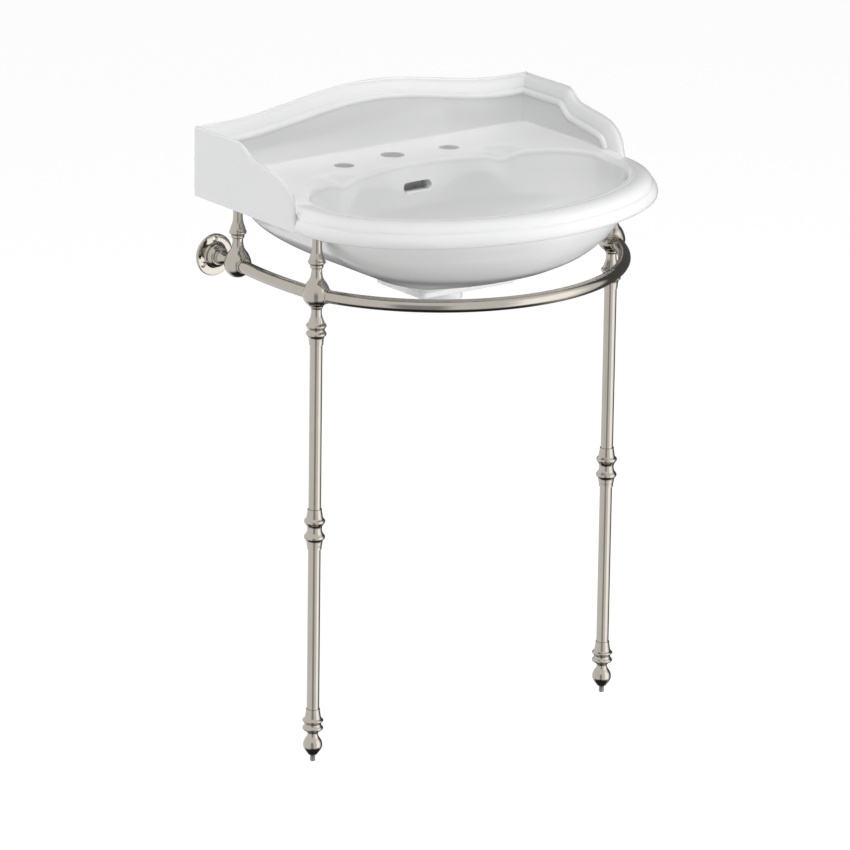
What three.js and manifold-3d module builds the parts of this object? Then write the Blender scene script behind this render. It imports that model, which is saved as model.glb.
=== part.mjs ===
// Washbasin with a raised, moulded back and sides, carried on a turned metal stand:
// two legs in front, two wall arms behind and a bowed towel rail round the bowl.
//
// Millimetres, +Z up. While the pieces are built, the wall is the plane Y = 0, the
// front is towards -Y, X = 0 is the middle and Z is the height above the floor. The
// last lines move the whole assembly so that the origin is under its middle.

import * as THREE from 'three';
import { mergeVertices } from 'three/addons/utils/BufferGeometryUtils.js';
import Module from 'manifold-3d';

const wasm = await Module();
wasm.setup();

// Basin, outside
const basinWidth = 600;
const basinDepth = 476;
const cornerHeight = 898;
const crestRise = 28;
const deckDrop = 69;
const undersideDrop = 103;
const crestHeight = cornerHeight + crestRise;
const deckHeight = cornerHeight - deckDrop;
const undersideHeight = cornerHeight - undersideDrop;
const crestHalfWidth = 262;
const upstandThickness = 22;
const mouldingWidth = 24.5;
const mouldingDepth = 29;
const wallArcCentre = 262;

// Side of the upstand, measured from the wall towards the front
const sideTopLength = 119;
const sideHollowLength = 31;
const sideHollowDrop = 18.5;
const cornerLeanShare = 0.24;
const sideSlopeLength = 50;
const sideSlopeDrop = 7;
const sideEndLength = 50;
const sideEndDrop = 57;

// Rim and bowl
const rimWidth = 44;
const rimHeight = 35;
const rimBandWidth = 57;
const lipRadius = 5;
const bowlBottomDrop = 92;
const bowlBottomHeight = undersideHeight - bowlBottomDrop;
const bowlBackReach = 136;
const drainOffset = 143;
const drainDistance = 151;
const drainHalfWidth = 27;
const drainHalfLength = 36;
const drainDepth = 10;

// Body under the bowl
const bodyHalfWidth = basinWidth / 2 - rimWidth;
const bodyFront = 452;
const bodyBack = 14;
const bodyDrop = 107;
const bodyBottomHeight = undersideHeight - bodyDrop;
const bodyCentre = 250;
const bodySquareness = 8;
const footHalfWidth = 86;
const footFront = 265;
const footBack = 150;
const footDrop = 128;
const footHeight = undersideHeight - footDrop;
const footCornerRadius = 14;

// Waste, overflow and tap holes
const wasteDistance = 198;
const wasteBoreRadius = 21.5;
const wasteSeatRadius = 31;
const wasteSeatDepth = 4;
const bossRadius = 30;
const bossDrop = 152;
const bossHeight = undersideHeight - bossDrop;
const slotWidth = 48;
const slotHeight = 14;
const slotCentreRise = 2;
const slotCentreHeight = undersideHeight + slotCentreRise;
const ductDepth = 12;
const ductWall = 9;
const ductBack = 104;
const ductKneeDrop = 77;
const ductKneeHeight = undersideHeight - ductKneeDrop;
const ductFootDistance = 160;
const tapSpacing = 190;
const sideTapDistance = 84;
const middleTapDistance = 73;
const sideTapRadius = 14;
const middleTapRadius = 17;
const tapDeckThickness = 15;
const tapPocketHalfWidth = 150;

// Stand
const legInset = 34;
const legHalfSpacing = basinWidth / 2 - legInset;
const frontLegDistance = 256.5;
const rearBallDistance = 61.4;
const ballCentreDrop = 92.8;
const ballCentreHeight = undersideHeight - ballCentreDrop;
const railRadius = 9.4;
const railFront = 452;
const sideRailBow = 7;
const railEndGap = 8.5;
const socketLipWidth = 1.4;
const legRadius = 9;
const tubeWall = 1.5;
const padRadius = 9.6;
const padThickness = 2;

// Turned ball and what stands on it
const ballRadius = 20;
const ballShoulderHeight = 39;
const ballFootDrop = 17.2;
const postRingRadius = 12.6;

// Neck under the front ball, collar in the middle of the leg, collar at the foot
const neckHeight = 57;
const neckRingRadius = 14.6;
const midCollarHeight = 353;
const midCollarLength = 60;
const midCollarRadius = 15.2;
const footCollarBottom = 46;
const footCollarLength = 34;
const footCollarRadius = 15.1;
const spigotLength = 18;

// Ball foot and its levelling stud
const ballFootBottom = 10.2;
const ballFootRadius = 13.9;
const levelRadius = 3.8;
const levelGrip = 21.8;
const levelTravelUp = 8;
const levelTravelDown = 12;
const levelLength = ballFootBottom + levelTravelDown + levelGrip;
const levelChamfer = 0.8;
const levelSlotWidth = 1.2;
const levelSlotDepth = 2;

// Wall flange and arm
const flangeRadius = 31;
const flangeThickness = 4.5;
const flangeRounding = 1.4;
const flangeBossRadius = 17.6;
const flangeBossEnd = 17.2;
const armRingRadius = 11.2;
const armRingLength = 3.4;
const armConeLength = 10.5;
const armNeckRadius = 4.8;
const armEndGap = 12;
const flangeHoleRadius = 2.6;
const flangeHoleSinkRadius = 4.2;
const flangeHoleCircleRadius = 23.5;
const flangeHoleCount = 3;

// Joining studs and grub screws
const studRadius = 3;
const studLength = 22;
const neckStudLength = 11;
const grubRadius = 2;
const grubLength = 4.2;
const grubOffset = 14.5;

// Fits
const clearance = 0.3;
const overrun = 6;
const weldDistance = 0.0005;
const joinTolerance = 0.02;

// Fineness of round work
const turnedSides = 14;
const flangeSides = 20;
const bowlSides = 24;
const boreSides = 12;
const railSides = 12;
const frontRailSteps = 24;
const sideRailSteps = 8;
const hollowSteps = 5;

const wallHalf = basinWidth / 2;
const postTop = undersideHeight - padThickness;

// A closed skin with its faces turned outwards
function facingOut(geometry) {
  const bare = geometry.index ? geometry.toNonIndexed() : geometry.clone();
  bare.deleteAttribute('normal');
  bare.deleteAttribute('uv');
  const merged = mergeVertices(bare, weldDistance);
  const place = merged.attributes.position;
  const corners = merged.index.array;
  const kept = [];
  const a = new THREE.Vector3();
  const b = new THREE.Vector3();
  const c = new THREE.Vector3();
  let volume = 0;
  for (let k = 0; k < corners.length; k += 3) {
    const [i, j, l] = [corners[k], corners[k + 1], corners[k + 2]];
    if (i === j || j === l || l === i) continue;
    kept.push([i, j, l]);
    a.fromBufferAttribute(place, i);
    b.fromBufferAttribute(place, j);
    c.fromBufferAttribute(place, l);
    volume += a.dot(b.cross(c));
  }
  const order = volume < 0 ? kept.map(([i, j, l]) => [l, j, i]) : kept;
  merged.setIndex(order.flat());
  return merged;
}

function solidOf(geometry) {
  const skin = facingOut(geometry);
  return new wasm.Manifold(new wasm.Mesh({
    numProp: 3,
    vertProperties: Float32Array.from(skin.attributes.position.array),
    triVerts: Uint32Array.from(skin.index.array),
  }));
}

function geometryOf(solid) {
  const mesh = solid.asOriginal().simplify(joinTolerance).getMesh();
  const geometry = new THREE.BufferGeometry();
  geometry.setAttribute('position', new THREE.Float32BufferAttribute(mesh.vertProperties, 3));
  geometry.setIndex(Array.from(mesh.triVerts));
  return geometry;
}

// Lays the same outline (u, v) at every station and skins the row. Each station
// turns a point of the outline into a place in space.
function loft(outline, stations) {
  const contour = THREE.ShapeUtils.isClockWise(outline) ? outline.toReversed() : outline;
  return loftRings(stations.map((station) => contour.map((p) => station(p.x, p.y))), contour);
}

// Skins a row of rings that have the same number of points. The ends are closed
// with the triangles of the flat contour given.
function loftRings(rings, contour) {
  const count = contour.length;
  const index = [];
  for (let row = 0; row + 1 < rings.length; row += 1) {
    for (let k = 0; k < count; k += 1) {
      const a = row * count + k;
      const b = row * count + ((k + 1) % count);
      index.push(a, b, a + count, b, b + count, a + count);
    }
  }
  const last = (rings.length - 1) * count;
  for (const [i, j, k] of THREE.ShapeUtils.triangulateShape(contour, [])) {
    const turn = contour[j].clone().sub(contour[i]).cross(contour[k].clone().sub(contour[i]));
    const [p, q, r] = turn > 0 ? [i, j, k] : [k, j, i];
    index.push(r, q, p, last + p, last + q, last + r);
  }
  const geometry = new THREE.BufferGeometry();
  const places = rings.flat().flatMap((p) => [p.x, p.y, p.z]);
  geometry.setAttribute('position', new THREE.Float32BufferAttribute(places, 3));
  geometry.setIndex(index);
  return geometry;
}

// A turned piece: pairs of radius and height, from the axis to the axis
function turned(profile, sides = turnedSides) {
  const points = profile.map(([radius, height]) => new THREE.Vector2(radius, height));
  return new THREE.LatheGeometry(points, sides).rotateX(Math.PI / 2);
}

function fromShares(shares, radius, length, start = 0) {
  return shares.map(([radiusShare, lengthShare]) => [radiusShare * radius, start + lengthShare * length]);
}

// A cylinder along Z between two heights
function post(radius, bottom, top, sides = boreSides) {
  const cylinder = new THREE.CylinderGeometry(radius, radius, top - bottom, sides);
  return cylinder.rotateX(Math.PI / 2).translate(0, 0, (top + bottom) / 2);
}

function block(x0, x1, y0, y1, z0, z1) {
  const box = new THREE.BoxGeometry(x1 - x0, y1 - y0, z1 - z0);
  return box.translate((x0 + x1) / 2, (y0 + y1) / 2, (z0 + z1) / 2);
}

// An outline in the YZ plane, carried from -halfWidth to +halfWidth along X
function sideExtrusion(points, halfWidth) {
  const outline = points.map(([y, z]) => new THREE.Vector2(y, z));
  return loft(outline, [
    (y, z) => new THREE.Vector3(-halfWidth, y, z),
    (y, z) => new THREE.Vector3(halfWidth, y, z),
  ]);
}

// Basin: height of the top of the back, an S-curve on each side of the crest
function backTop(x) {
  const share = Math.min(Math.abs(x) / crestHalfWidth, 1);
  const rise = (1 + Math.cos(Math.PI * share)) / 2;
  return cornerHeight + (crestHeight - cornerHeight) * rise;
}

// Moulding of the upstand, from the outer face over the edge and down inside, as
// shares of the moulding's width and depth
const mouldingShares = [
  [0, 0.1], [0.03, 0.02], [0.1, 0], [0.16, 0.02], [0.18, 0.09], [0.28, 0.12], [0.42, 0.2],
  [0.54, 0.33], [0.64, 0.48], [0.74, 0.6], [0.76, 0.68], [0.88, 0.7], [0.97, 0.77], [1, 0.86],
  [0.96, 0.95], [0.84, 1],
];

function mouldingOutline() {
  const edge = mouldingShares.map(([u, v]) => new THREE.Vector2(u * mouldingWidth, -v * mouldingDepth));
  const foot = new THREE.Vector2(0, -mouldingDepth);
  return [...edge, foot];
}

function backWall() {
  const outline = mouldingOutline();
  const down = mouldingDepth / 2;
  const columns = 22;
  const stations = [];
  for (let k = 0; k <= columns; k += 1) {
    const x = wallHalf * (2 * k / columns - 1);
    stations.push((u, v) => new THREE.Vector3(x, -u, backTop(x) + v));
  }
  const face = new THREE.Shape();
  face.moveTo(-wallHalf, undersideHeight);
  for (let k = 0; k <= columns; k += 1) {
    const x = wallHalf * (2 * k / columns - 1);
    face.lineTo(x, backTop(x) - down);
  }
  face.lineTo(wallHalf, undersideHeight);
  const wall = new THREE.ExtrudeGeometry(face, { depth: upstandThickness, bevelEnabled: false });
  wall.rotateX(Math.PI / 2);
  return solidOf(loft(outline, stations)).add(solidOf(wall));
}

// Top line of a side, as (distance from the wall, height) from the back to the foot
function sideLine() {
  const points = [new THREE.Vector2(0, cornerHeight), new THREE.Vector2(sideTopLength, cornerHeight)];
  for (let k = 1; k <= hollowSteps; k += 1) {
    const turn = (k / hollowSteps) * Math.PI / 2;
    const along = sideTopLength + sideHollowLength * (1 - Math.cos(turn)) ** 0.75;
    points.push(new THREE.Vector2(along, cornerHeight - sideHollowDrop * Math.sin(turn)));
  }
  const slopeEnd = sideTopLength + sideHollowLength + sideSlopeLength;
  const slopeHeight = cornerHeight - sideHollowDrop - sideSlopeDrop;
  const endSteps = 6;
  for (let k = 0; k <= endSteps; k += 1) {
    const turn = (k / endSteps) * Math.PI / 2;
    const along = slopeEnd + sideEndLength * Math.sin(turn);
    points.push(new THREE.Vector2(along, slopeHeight - sideEndDrop * (1 - Math.cos(turn))));
  }
  points.push(new THREE.Vector2(slopeEnd + sideEndLength, undersideHeight));
  return points;
}

// Direction into the piece at each point of the side's top line: square to the line,
// but nearly straight down through the hollow, where the line turns sharply
function mitres(line) {
  const square = line.map((point, k) => {
    const before = k > 0 ? point.clone().sub(line[k - 1]).normalize() : null;
    const after = k + 1 < line.length ? line[k + 1].clone().sub(point).normalize() : null;
    const along = (before ?? after).clone().add(after ?? before).normalize();
    const inwards = new THREE.Vector2(along.y, -along.x);
    const straight = before ?? after;
    const stretch = 1 / Math.abs(straight.x * along.x + straight.y * along.y);
    return inwards.multiplyScalar(stretch);
  });
  const lean = new THREE.Vector2(-cornerLeanShare, -1);
  const slope = square[1 + hollowSteps];
  for (let k = 0; k < hollowSteps; k += 1) square[1 + k] = lean.clone().lerp(slope, k / hollowSteps);
  return square;
}

function sideWall(side) {
  const line = sideLine();
  const inwards = mitres(line);
  const stations = line.map((point, k) => (u, v) => {
    const along = point.x - inwards[k].x * v;
    const height = point.y - inwards[k].y * v;
    return new THREE.Vector3(side * (wallHalf - u), -along, height);
  });
  const halfway = mouldingDepth / 2;
  const face = line.map((point, k) => point.clone().addScaledVector(inwards[k], halfway));
  face.pop();
  face.push(new THREE.Vector2(face.at(-1).x, undersideHeight));
  face[0].x = 0;
  face.push(new THREE.Vector2(0, undersideHeight));
  const wall = loft(face, [0, upstandThickness].map((inset) => (along, height) => (
    new THREE.Vector3(side * (wallHalf - inset), -along, height))));
  return solidOf(loft(mouldingOutline(), stations)).add(solidOf(wall));
}

// Front half of the plan: a straight run on each side and a half ellipse between
function rimStart() {
  return sideTopLength + sideHollowLength + sideSlopeLength + sideEndLength / 2;
}

function planLine(steps) {
  const depth = basinDepth - wallArcCentre;
  const sideEnd = rimStart();
  const line = [{ x: -wallHalf, y: -sideEnd, nx: 1, ny: 0, deckShare: 1 }];
  for (let k = 0; k <= steps; k += 1) {
    const turn = Math.PI * (1 + k / steps);
    const normal = new THREE.Vector2(Math.cos(turn) / wallHalf, Math.sin(turn) / depth).normalize();
    line.push({
      x: wallHalf * Math.cos(turn),
      y: -wallArcCentre + depth * Math.sin(turn),
      nx: -normal.x,
      ny: -normal.y,
      deckShare: 0,
    });
  }
  line.push({ x: wallHalf, y: -sideEnd, nx: -1, ny: 0, deckShare: 1 });
  return line;
}

// Section of the rim from the inside of the underside, round the outside, to the
// bowl: shares of the rim's width inwards and of its height upwards
const rimShares = [
  [0.2, 0], [0.07, 0.05], [0, 0.16], [0, 0.27], [0.05, 0.36], [0.14, 0.39], [0.2, 0.37], [0.22, 0.46],
  [0.25, 0.6], [0.33, 0.76], [0.45, 0.88], [0.58, 0.95], [0.68, 0.97], [0.72, 0.93], [0.77, 0.99],
  [0.85, 1.02], [0.94, 0.99], [1, 0.95],
];

function rimBand() {
  const edge = rimShares.map(([u, v]) => new THREE.Vector2(u * rimWidth, undersideHeight + v * rimHeight));
  const outline = [...edge, new THREE.Vector2(rimBandWidth, edge.at(-1).y)];
  outline.push(new THREE.Vector2(rimBandWidth, undersideHeight));
  const steps = 28;
  const stations = planLine(steps).map((p) => (u, v) => {
    const level = u > upstandThickness / 2 && v > undersideHeight ? p.deckShare : 0;
    return new THREE.Vector3(p.x + p.nx * u, p.y + p.ny * u, v + (deckHeight - v) * level);
  });
  return solidOf(loft(outline, stations));
}

// Flat plate of the deck, which the rim and the upstand border
function deckPlate() {
  const inset = rimWidth + lipRadius;
  const half = upstandThickness / 2;
  const steps = 28;
  const outline = planLine(steps).slice(1, -1).map((p) => (
    new THREE.Vector2(p.x + p.nx * inset, p.y + p.ny * inset)));
  outline.push(new THREE.Vector2(wallHalf - inset, -rimStart()));
  outline.push(new THREE.Vector2(wallHalf - half, -rimStart()));
  outline.push(new THREE.Vector2(wallHalf - half, -half));
  outline.push(new THREE.Vector2(half - wallHalf, -half));
  outline.push(new THREE.Vector2(half - wallHalf, -rimStart()));
  outline.push(new THREE.Vector2(inset - wallHalf, -rimStart()));
  const stations = [undersideHeight, deckHeight].map((z) => (x, y) => new THREE.Vector3(x, y, z));
  return solidOf(loft(outline, stations));
}

// Edge of the bowl's opening: half an ellipse in front and a flatter curve behind, as
// shares of the half width and of the reach backwards
const openingBackShares = [
  [1, 0], [0.998, 0.162], [0.99, 0.294], [0.969, 0.397], [0.937, 0.485], [0.898, 0.563], [0.852, 0.625],
  [0.797, 0.676], [0.738, 0.721], [0.672, 0.761], [0.594, 0.798], [0.508, 0.831], [0.422, 0.86],
  [0.336, 0.897], [0.242, 0.945], [0.148, 0.982],
];
const ovalBackShare = 0.88;

function openingEdge() {
  const halfWidth = wallHalf - rimWidth;
  const front = basinDepth - rimWidth + lipRadius - wallArcCentre;
  const frontSteps = 18;
  const edge = [];
  for (let k = 0; k < frontSteps; k += 1) {
    const turn = Math.PI * (1 + k / frontSteps);
    edge.push(new THREE.Vector2(halfWidth * Math.cos(turn), -wallArcCentre + front * Math.sin(turn)));
  }
  const right = openingBackShares.map(([x, y]) => (
    new THREE.Vector2(x * halfWidth, y * bowlBackReach - wallArcCentre)));
  const middle = new THREE.Vector2(0, bowlBackReach - wallArcCentre);
  const left = right.slice(1).reverse().map((p) => new THREE.Vector2(-p.x, p.y));
  return [...edge, ...right, middle, ...left];
}

// Plain oval that the bowl becomes lower down
function ovalPoint(point, front, back, halfWidth) {
  const y = point.y + wallArcCentre;
  const turn = Math.atan2(y / (y < 0 ? front : back), point.x / halfWidth);
  const reach = y < 0 ? front : back;
  return new THREE.Vector2(halfWidth * Math.cos(turn), -wallArcCentre + reach * Math.sin(turn));
}

// Rounded lip, as shares of its radius outwards and upwards, and the inside of the
// bowl, as shares of its depth below the lip and of its spread
const lipShares = [[1, 1], [0.4, 0.8], [0.1, 0.45], [0, 0]];
const bowlShares = [
  [0.1, 0.985], [0.22, 0.965], [0.36, 0.93], [0.5, 0.88], [0.63, 0.81], [0.75, 0.72], [0.85, 0.6],
  [0.93, 0.45], [0.98, 0.28],
];
const ovalDepthShare = 0.45;

function bowlSpace() {
  const edge = openingEdge();
  const front = basinDepth - rimWidth - wallArcCentre;
  const halfWidth = wallHalf - rimWidth;
  const oval = edge.map((p) => ovalPoint(p, front, bowlBackReach * ovalBackShare, halfWidth));
  const waste = new THREE.Vector2(0, -wasteDistance);
  const middle = new THREE.Vector2(0, -wallArcCentre);
  const ring = (plan, z) => plan.map((p) => new THREE.Vector3(p.x, p.y, z));
  const spread = (distance) => edge.map((p) => {
    const away = p.clone().sub(middle).normalize().multiplyScalar(distance);
    return p.clone().add(away);
  });
  const lipHeight = deckHeight - lipRadius;
  const rings = [ring(spread(lipRadius), deckHeight + overrun)];
  for (const [out, up] of lipShares) rings.push(ring(spread(lipRadius * out), lipHeight + lipRadius * up));
  for (const [depthShare, spreadShare] of bowlShares) {
    const blend = Math.min(1, depthShare / ovalDepthShare);
    const centre = middle.clone().lerp(waste, depthShare ** 2);
    const plan = edge.map((p, k) => {
      const shape = p.clone().lerp(oval[k], blend).sub(middle);
      return shape.multiplyScalar(spreadShare).add(centre);
    });
    rings.push(ring(plan, lipHeight - (lipHeight - bowlBottomHeight) * depthShare));
  }
  const drain = edge.map((p) => {
    const out = p.clone().sub(middle).normalize().multiplyScalar(wasteSeatRadius + lipRadius);
    return out.add(waste);
  });
  rings.push(ring(drain, bowlBottomHeight));
  return solidOf(loftRings(rings.toReversed(), edge));
}

// Outside of the bowl: square at the back, oval in front, as shares of its depth
// below the underside, of its half width, and of its reach forwards and backwards
const bodyShares = [
  [-0.08, 1, 1, 1], [0, 0.995, 0.99, 1], [0.2, 0.975, 0.955, 0.985], [0.38, 0.935, 0.9, 0.94],
  [0.55, 0.86, 0.825, 0.84], [0.7, 0.755, 0.73, 0.68], [0.83, 0.62, 0.6, 0.5], [0.93, 0.47, 0.45, 0.36],
  [0.98, 0.34, 0.32, 0.28], [1, 0.2, 0.2, 0.2],
];

function bowlBody() {
  const steps = 36;
  const unit = [];
  for (let k = 0; k < steps; k += 1) {
    const turn = 2 * Math.PI * k / steps;
    const back = Math.sin(turn) > 0;
    const power = back ? 2 / bodySquareness : 1;
    const x = Math.sign(Math.cos(turn)) * Math.abs(Math.cos(turn)) ** power;
    const y = Math.sign(Math.sin(turn)) * Math.abs(Math.sin(turn)) ** power;
    unit.push(new THREE.Vector2(x, y));
  }
  const depth = undersideHeight - bodyBottomHeight;
  const rings = bodyShares.map(([down, wide, forwards, backwards]) => unit.map((p) => {
    const reach = p.y < 0 ? (bodyFront - bodyCentre) * forwards : (bodyCentre - bodyBack) * backwards;
    const z = undersideHeight - depth * down;
    return new THREE.Vector3(p.x * bodyHalfWidth * wide, -bodyCentre + p.y * reach, z);
  }));
  return solidOf(loftRings(rings.toReversed(), unit));
}

// Flat foot that the basin stands on before it is mounted, and the waste boss
function footAndBoss() {
  const shape = new THREE.Shape();
  const radius = footCornerRadius;
  const x = footHalfWidth;
  shape.moveTo(radius - x, -footFront);
  shape.lineTo(x - radius, -footFront);
  shape.absarc(x - radius, radius - footFront, radius, -Math.PI / 2, 0);
  shape.lineTo(x, -footBack - radius);
  shape.absarc(x - radius, -footBack - radius, radius, 0, Math.PI / 2);
  shape.lineTo(radius - x, -footBack);
  shape.absarc(radius - x, -footBack - radius, radius, Math.PI / 2, Math.PI);
  shape.lineTo(-x, radius - footFront);
  shape.absarc(radius - x, radius - footFront, radius, Math.PI, 1.5 * Math.PI);
  const top = bowlBottomHeight - wasteSeatDepth;
  const options = { depth: top - footHeight, bevelEnabled: false, curveSegments: 4 };
  const foot = new THREE.ExtrudeGeometry(shape, options).translate(0, 0, footHeight);
  const boss = post(bossRadius, bossHeight, top, 28).translate(0, -wasteDistance, 0);
  return solidOf(foot).add(solidOf(boss));
}

// Wall of the overflow duct behind the bowl, and the duct inside it
function ductLine(grow) {
  const top = slotCentreHeight + slotHeight / 2 + grow;
  const back = ductBack + ductWall - grow;
  const front = back + ductDepth + 2 * grow;
  const outletTop = bowlBottomHeight - wasteSeatDepth - ductWall + grow;
  const outletBottom = outletTop - ductDepth - 2 * grow;
  return [
    [-back, top], [-front, top], [-front, ductKneeHeight], [-ductFootDistance, outletTop],
    [-wasteDistance, outletTop], [-wasteDistance, outletBottom],
    [ductDepth - ductFootDistance, outletBottom], [-back, ductKneeHeight - ductDepth],
  ];
}

function overflowSlot() {
  const radius = slotHeight / 2;
  const reach = slotWidth / 2 - radius;
  const shape = new THREE.Shape();
  shape.absarc(reach, 0, radius, -Math.PI / 2, Math.PI / 2);
  shape.absarc(-reach, 0, radius, Math.PI / 2, 1.5 * Math.PI);
  const start = ductBack + ductWall + ductDepth / 2;
  const end = wasteDistance;
  const options = { depth: end - start, bevelEnabled: false, curveSegments: 6 };
  const slot = new THREE.ExtrudeGeometry(shape, options).rotateX(Math.PI / 2);
  return solidOf(slot.translate(0, -start, slotCentreHeight));
}

function tapHoles() {
  const holes = [
    [-tapSpacing / 2, sideTapDistance, sideTapRadius], [0, middleTapDistance, middleTapRadius],
    [tapSpacing / 2, sideTapDistance, sideTapRadius],
  ];
  const cuts = holes.map(([x, distance, radius]) => (
    solidOf(post(radius, undersideHeight - overrun, deckHeight + overrun, bowlSides)
      .translate(x, -distance, 0))));
  return cuts.reduce((all, cut) => all.add(cut));
}

// Shallow dips by which the two ends of the deck drain into the bowl
function drainDips() {
  const radius = (drainHalfWidth ** 2 + drainDepth ** 2) / (2 * drainDepth);
  const dips = [-1, 1].map((side) => {
    const ball = new THREE.SphereGeometry(radius, bowlSides, turnedSides);
    ball.rotateX(Math.PI / 2).scale(1, drainHalfLength / drainHalfWidth, 1);
    return solidOf(ball.translate(side * drainOffset, -drainDistance, deckHeight + radius - drainDepth));
  });
  const sliceBottom = deckHeight - 2 * drainDepth;
  const slice = block(-wallHalf, wallHalf, -basinDepth, 0, sliceBottom, deckHeight + overrun);
  return dips[0].add(dips[1]).intersect(solidOf(slice));
}

function basinGeometry() {
  const ductHousing = sideExtrusion(ductLine(ductWall), slotWidth / 2 + ductWall);
  const duct = sideExtrusion(ductLine(0), slotWidth / 2);
  const pocket = block(
    -tapPocketHalfWidth, tapPocketHalfWidth, -ductBack, -upstandThickness,
    bodyBottomHeight - overrun, deckHeight - tapDeckThickness,
  );
  const seatHeight = bowlBottomHeight - wasteSeatDepth;
  const waste = post(wasteBoreRadius, bossHeight - overrun, bowlBottomHeight, bowlSides);
  const seat = post(wasteSeatRadius, seatHeight, bowlBottomHeight + overrun, bowlSides);
  for (const bore of [waste, seat]) bore.translate(0, -wasteDistance, 0);
  const whole = deckPlate().add(rimBand()).add(bowlBody())
    .subtract(solidOf(pocket))
    .add(solidOf(ductHousing)).add(footAndBoss())
    .subtract(bowlSpace())
    .add(backWall()).add(sideWall(-1)).add(sideWall(1));
  const cuts = [drainDips(), tapHoles(), overflowSlot(), solidOf(duct), solidOf(waste), solidOf(seat)];
  return geometryOf(cuts.reduce((rest, cut) => rest.subtract(cut), whole));
}

// Stand. A ball with its tapering shoulder: shares of the ball's radius and of the
// shoulder's height above its centre
const shoulderShares = [
  [0.98, 0.12], [0.9, 0.23], [0.74, 0.4], [0.53, 0.58], [0.42, 0.75], [0.39, 1],
];
const frontBallLowerShares = [[0.42, -0.86], [0.63, -0.68], [0.86, -0.42], [0.98, -0.15]];
const rearBallLowerShares = [[0.38, -0.92], [0.68, -0.73], [0.89, -0.46], [0.98, -0.15]];

// Profile of a ball above Z = 0 at its centre, with a stud hole down its shoulder and,
// for a front ball, one up from below
function ballProfile(front) {
  const lower = fromShares(front ? frontBallLowerShares : rearBallLowerShares, ballRadius, ballRadius);
  const upper = fromShares(shoulderShares, ballRadius, ballShoulderHeight);
  const hole = studRadius + clearance;
  const topEnd = ballShoulderHeight - studLength / 2 - clearance;
  const lowEnd = neckStudLength / 2 + clearance - ballFootDrop;
  const topHole = [[hole, ballShoulderHeight], [hole, topEnd], [0, topEnd]];
  const lowHole = [[0, lowEnd], [hole, lowEnd], [hole, -ballFootDrop]];
  const start = front ? lowHole : [[0, -ballRadius]];
  return [...start, ...lower, ...upper, ...topHole];
}

// Plan curve of a rail as a circular arc through two ends, bowed away from the bowl
function arcBetween(start, end, bow) {
  const chord = end.clone().sub(start);
  const half = chord.length() / 2;
  const radius = (half ** 2 + bow ** 2) / (2 * bow);
  const middle = start.clone().add(end).divideScalar(2);
  const inwards = new THREE.Vector2(-chord.y, chord.x).normalize();
  const centre = middle.clone().addScaledVector(inwards, radius - bow);
  const from = start.clone().sub(centre);
  const spread = 2 * Math.asin(half / radius);
  const sweep = radius - bow < 0 ? 2 * Math.PI - spread : spread;
  return { centre, radius, from: Math.atan2(from.y, from.x), sweep };
}

class RailCurve extends THREE.Curve {
  constructor(arc, trim) {
    super();
    this.arc = arc;
    this.first = arc.from + trim / arc.radius;
    this.last = arc.from + arc.sweep - trim / arc.radius;
  }

  getPoint(t, target = new THREE.Vector3()) {
    const turn = this.first + (this.last - this.first) * t;
    const { centre, radius } = this.arc;
    const x = centre.x + radius * Math.cos(turn);
    return target.set(x, centre.y + radius * Math.sin(turn), ballCentreHeight);
  }
}

const frontLeft = new THREE.Vector2(-legHalfSpacing, -frontLegDistance);
const frontRight = new THREE.Vector2(legHalfSpacing, -frontLegDistance);
const rearLeft = new THREE.Vector2(-legHalfSpacing, -rearBallDistance);
const rearRight = new THREE.Vector2(legHalfSpacing, -rearBallDistance);
const railArcs = {
  towel_rail_front: [arcBetween(frontLeft, frontRight, railFront - frontLegDistance), frontRailSteps],
  towel_rail_left: [arcBetween(rearLeft, frontLeft, sideRailBow), sideRailSteps],
  towel_rail_right: [arcBetween(frontRight, rearRight, sideRailBow), sideRailSteps],
};

function circleShape(radius, sides) {
  const points = [];
  for (let k = 0; k < sides; k += 1) {
    const turn = 2 * Math.PI * k / sides;
    points.push(new THREE.Vector2(radius * Math.cos(turn), radius * Math.sin(turn)));
  }
  return points;
}

function railGeometry([arc, steps]) {
  const section = new THREE.Shape(circleShape(railRadius, railSides));
  section.holes.push(new THREE.Path(circleShape(railRadius - tubeWall, railSides / 2)));
  const extrudePath = new RailCurve(arc, railEndGap);
  return new THREE.ExtrudeGeometry(section, { steps, extrudePath, bevelEnabled: false });
}

function railBore([arc, steps]) {
  const section = new THREE.Shape(circleShape(railRadius + clearance, railSides));
  const extrudePath = new RailCurve(arc, railEndGap - clearance);
  return new THREE.ExtrudeGeometry(section, { steps, extrudePath, bevelEnabled: false });
}

// Where each rail is held: a grub screw from the inner side of a ball
function grubPlaces() {
  const places = [];
  for (const [side, hand] of [[-1, 'left'], [1, 'right']]) {
    const [front, rear] = [`front_ball_${hand}`, `rear_ball_${hand}`];
    places.push({ side, y: grubOffset - frontLegDistance, ball: front, name: `side_${hand}` });
    places.push({ side, y: -frontLegDistance - grubOffset, ball: front, name: `front_${hand}` });
    places.push({ side, y: -rearBallDistance - grubOffset, ball: rear, name: `rear_${hand}` });
  }
  return places;
}

function sidewaysPin(radius, x0, x1, y, sides) {
  const pin = new THREE.CylinderGeometry(radius, radius, Math.abs(x1 - x0), sides);
  return pin.rotateZ(Math.PI / 2).translate((x0 + x1) / 2, y, ballCentreHeight);
}

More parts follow.
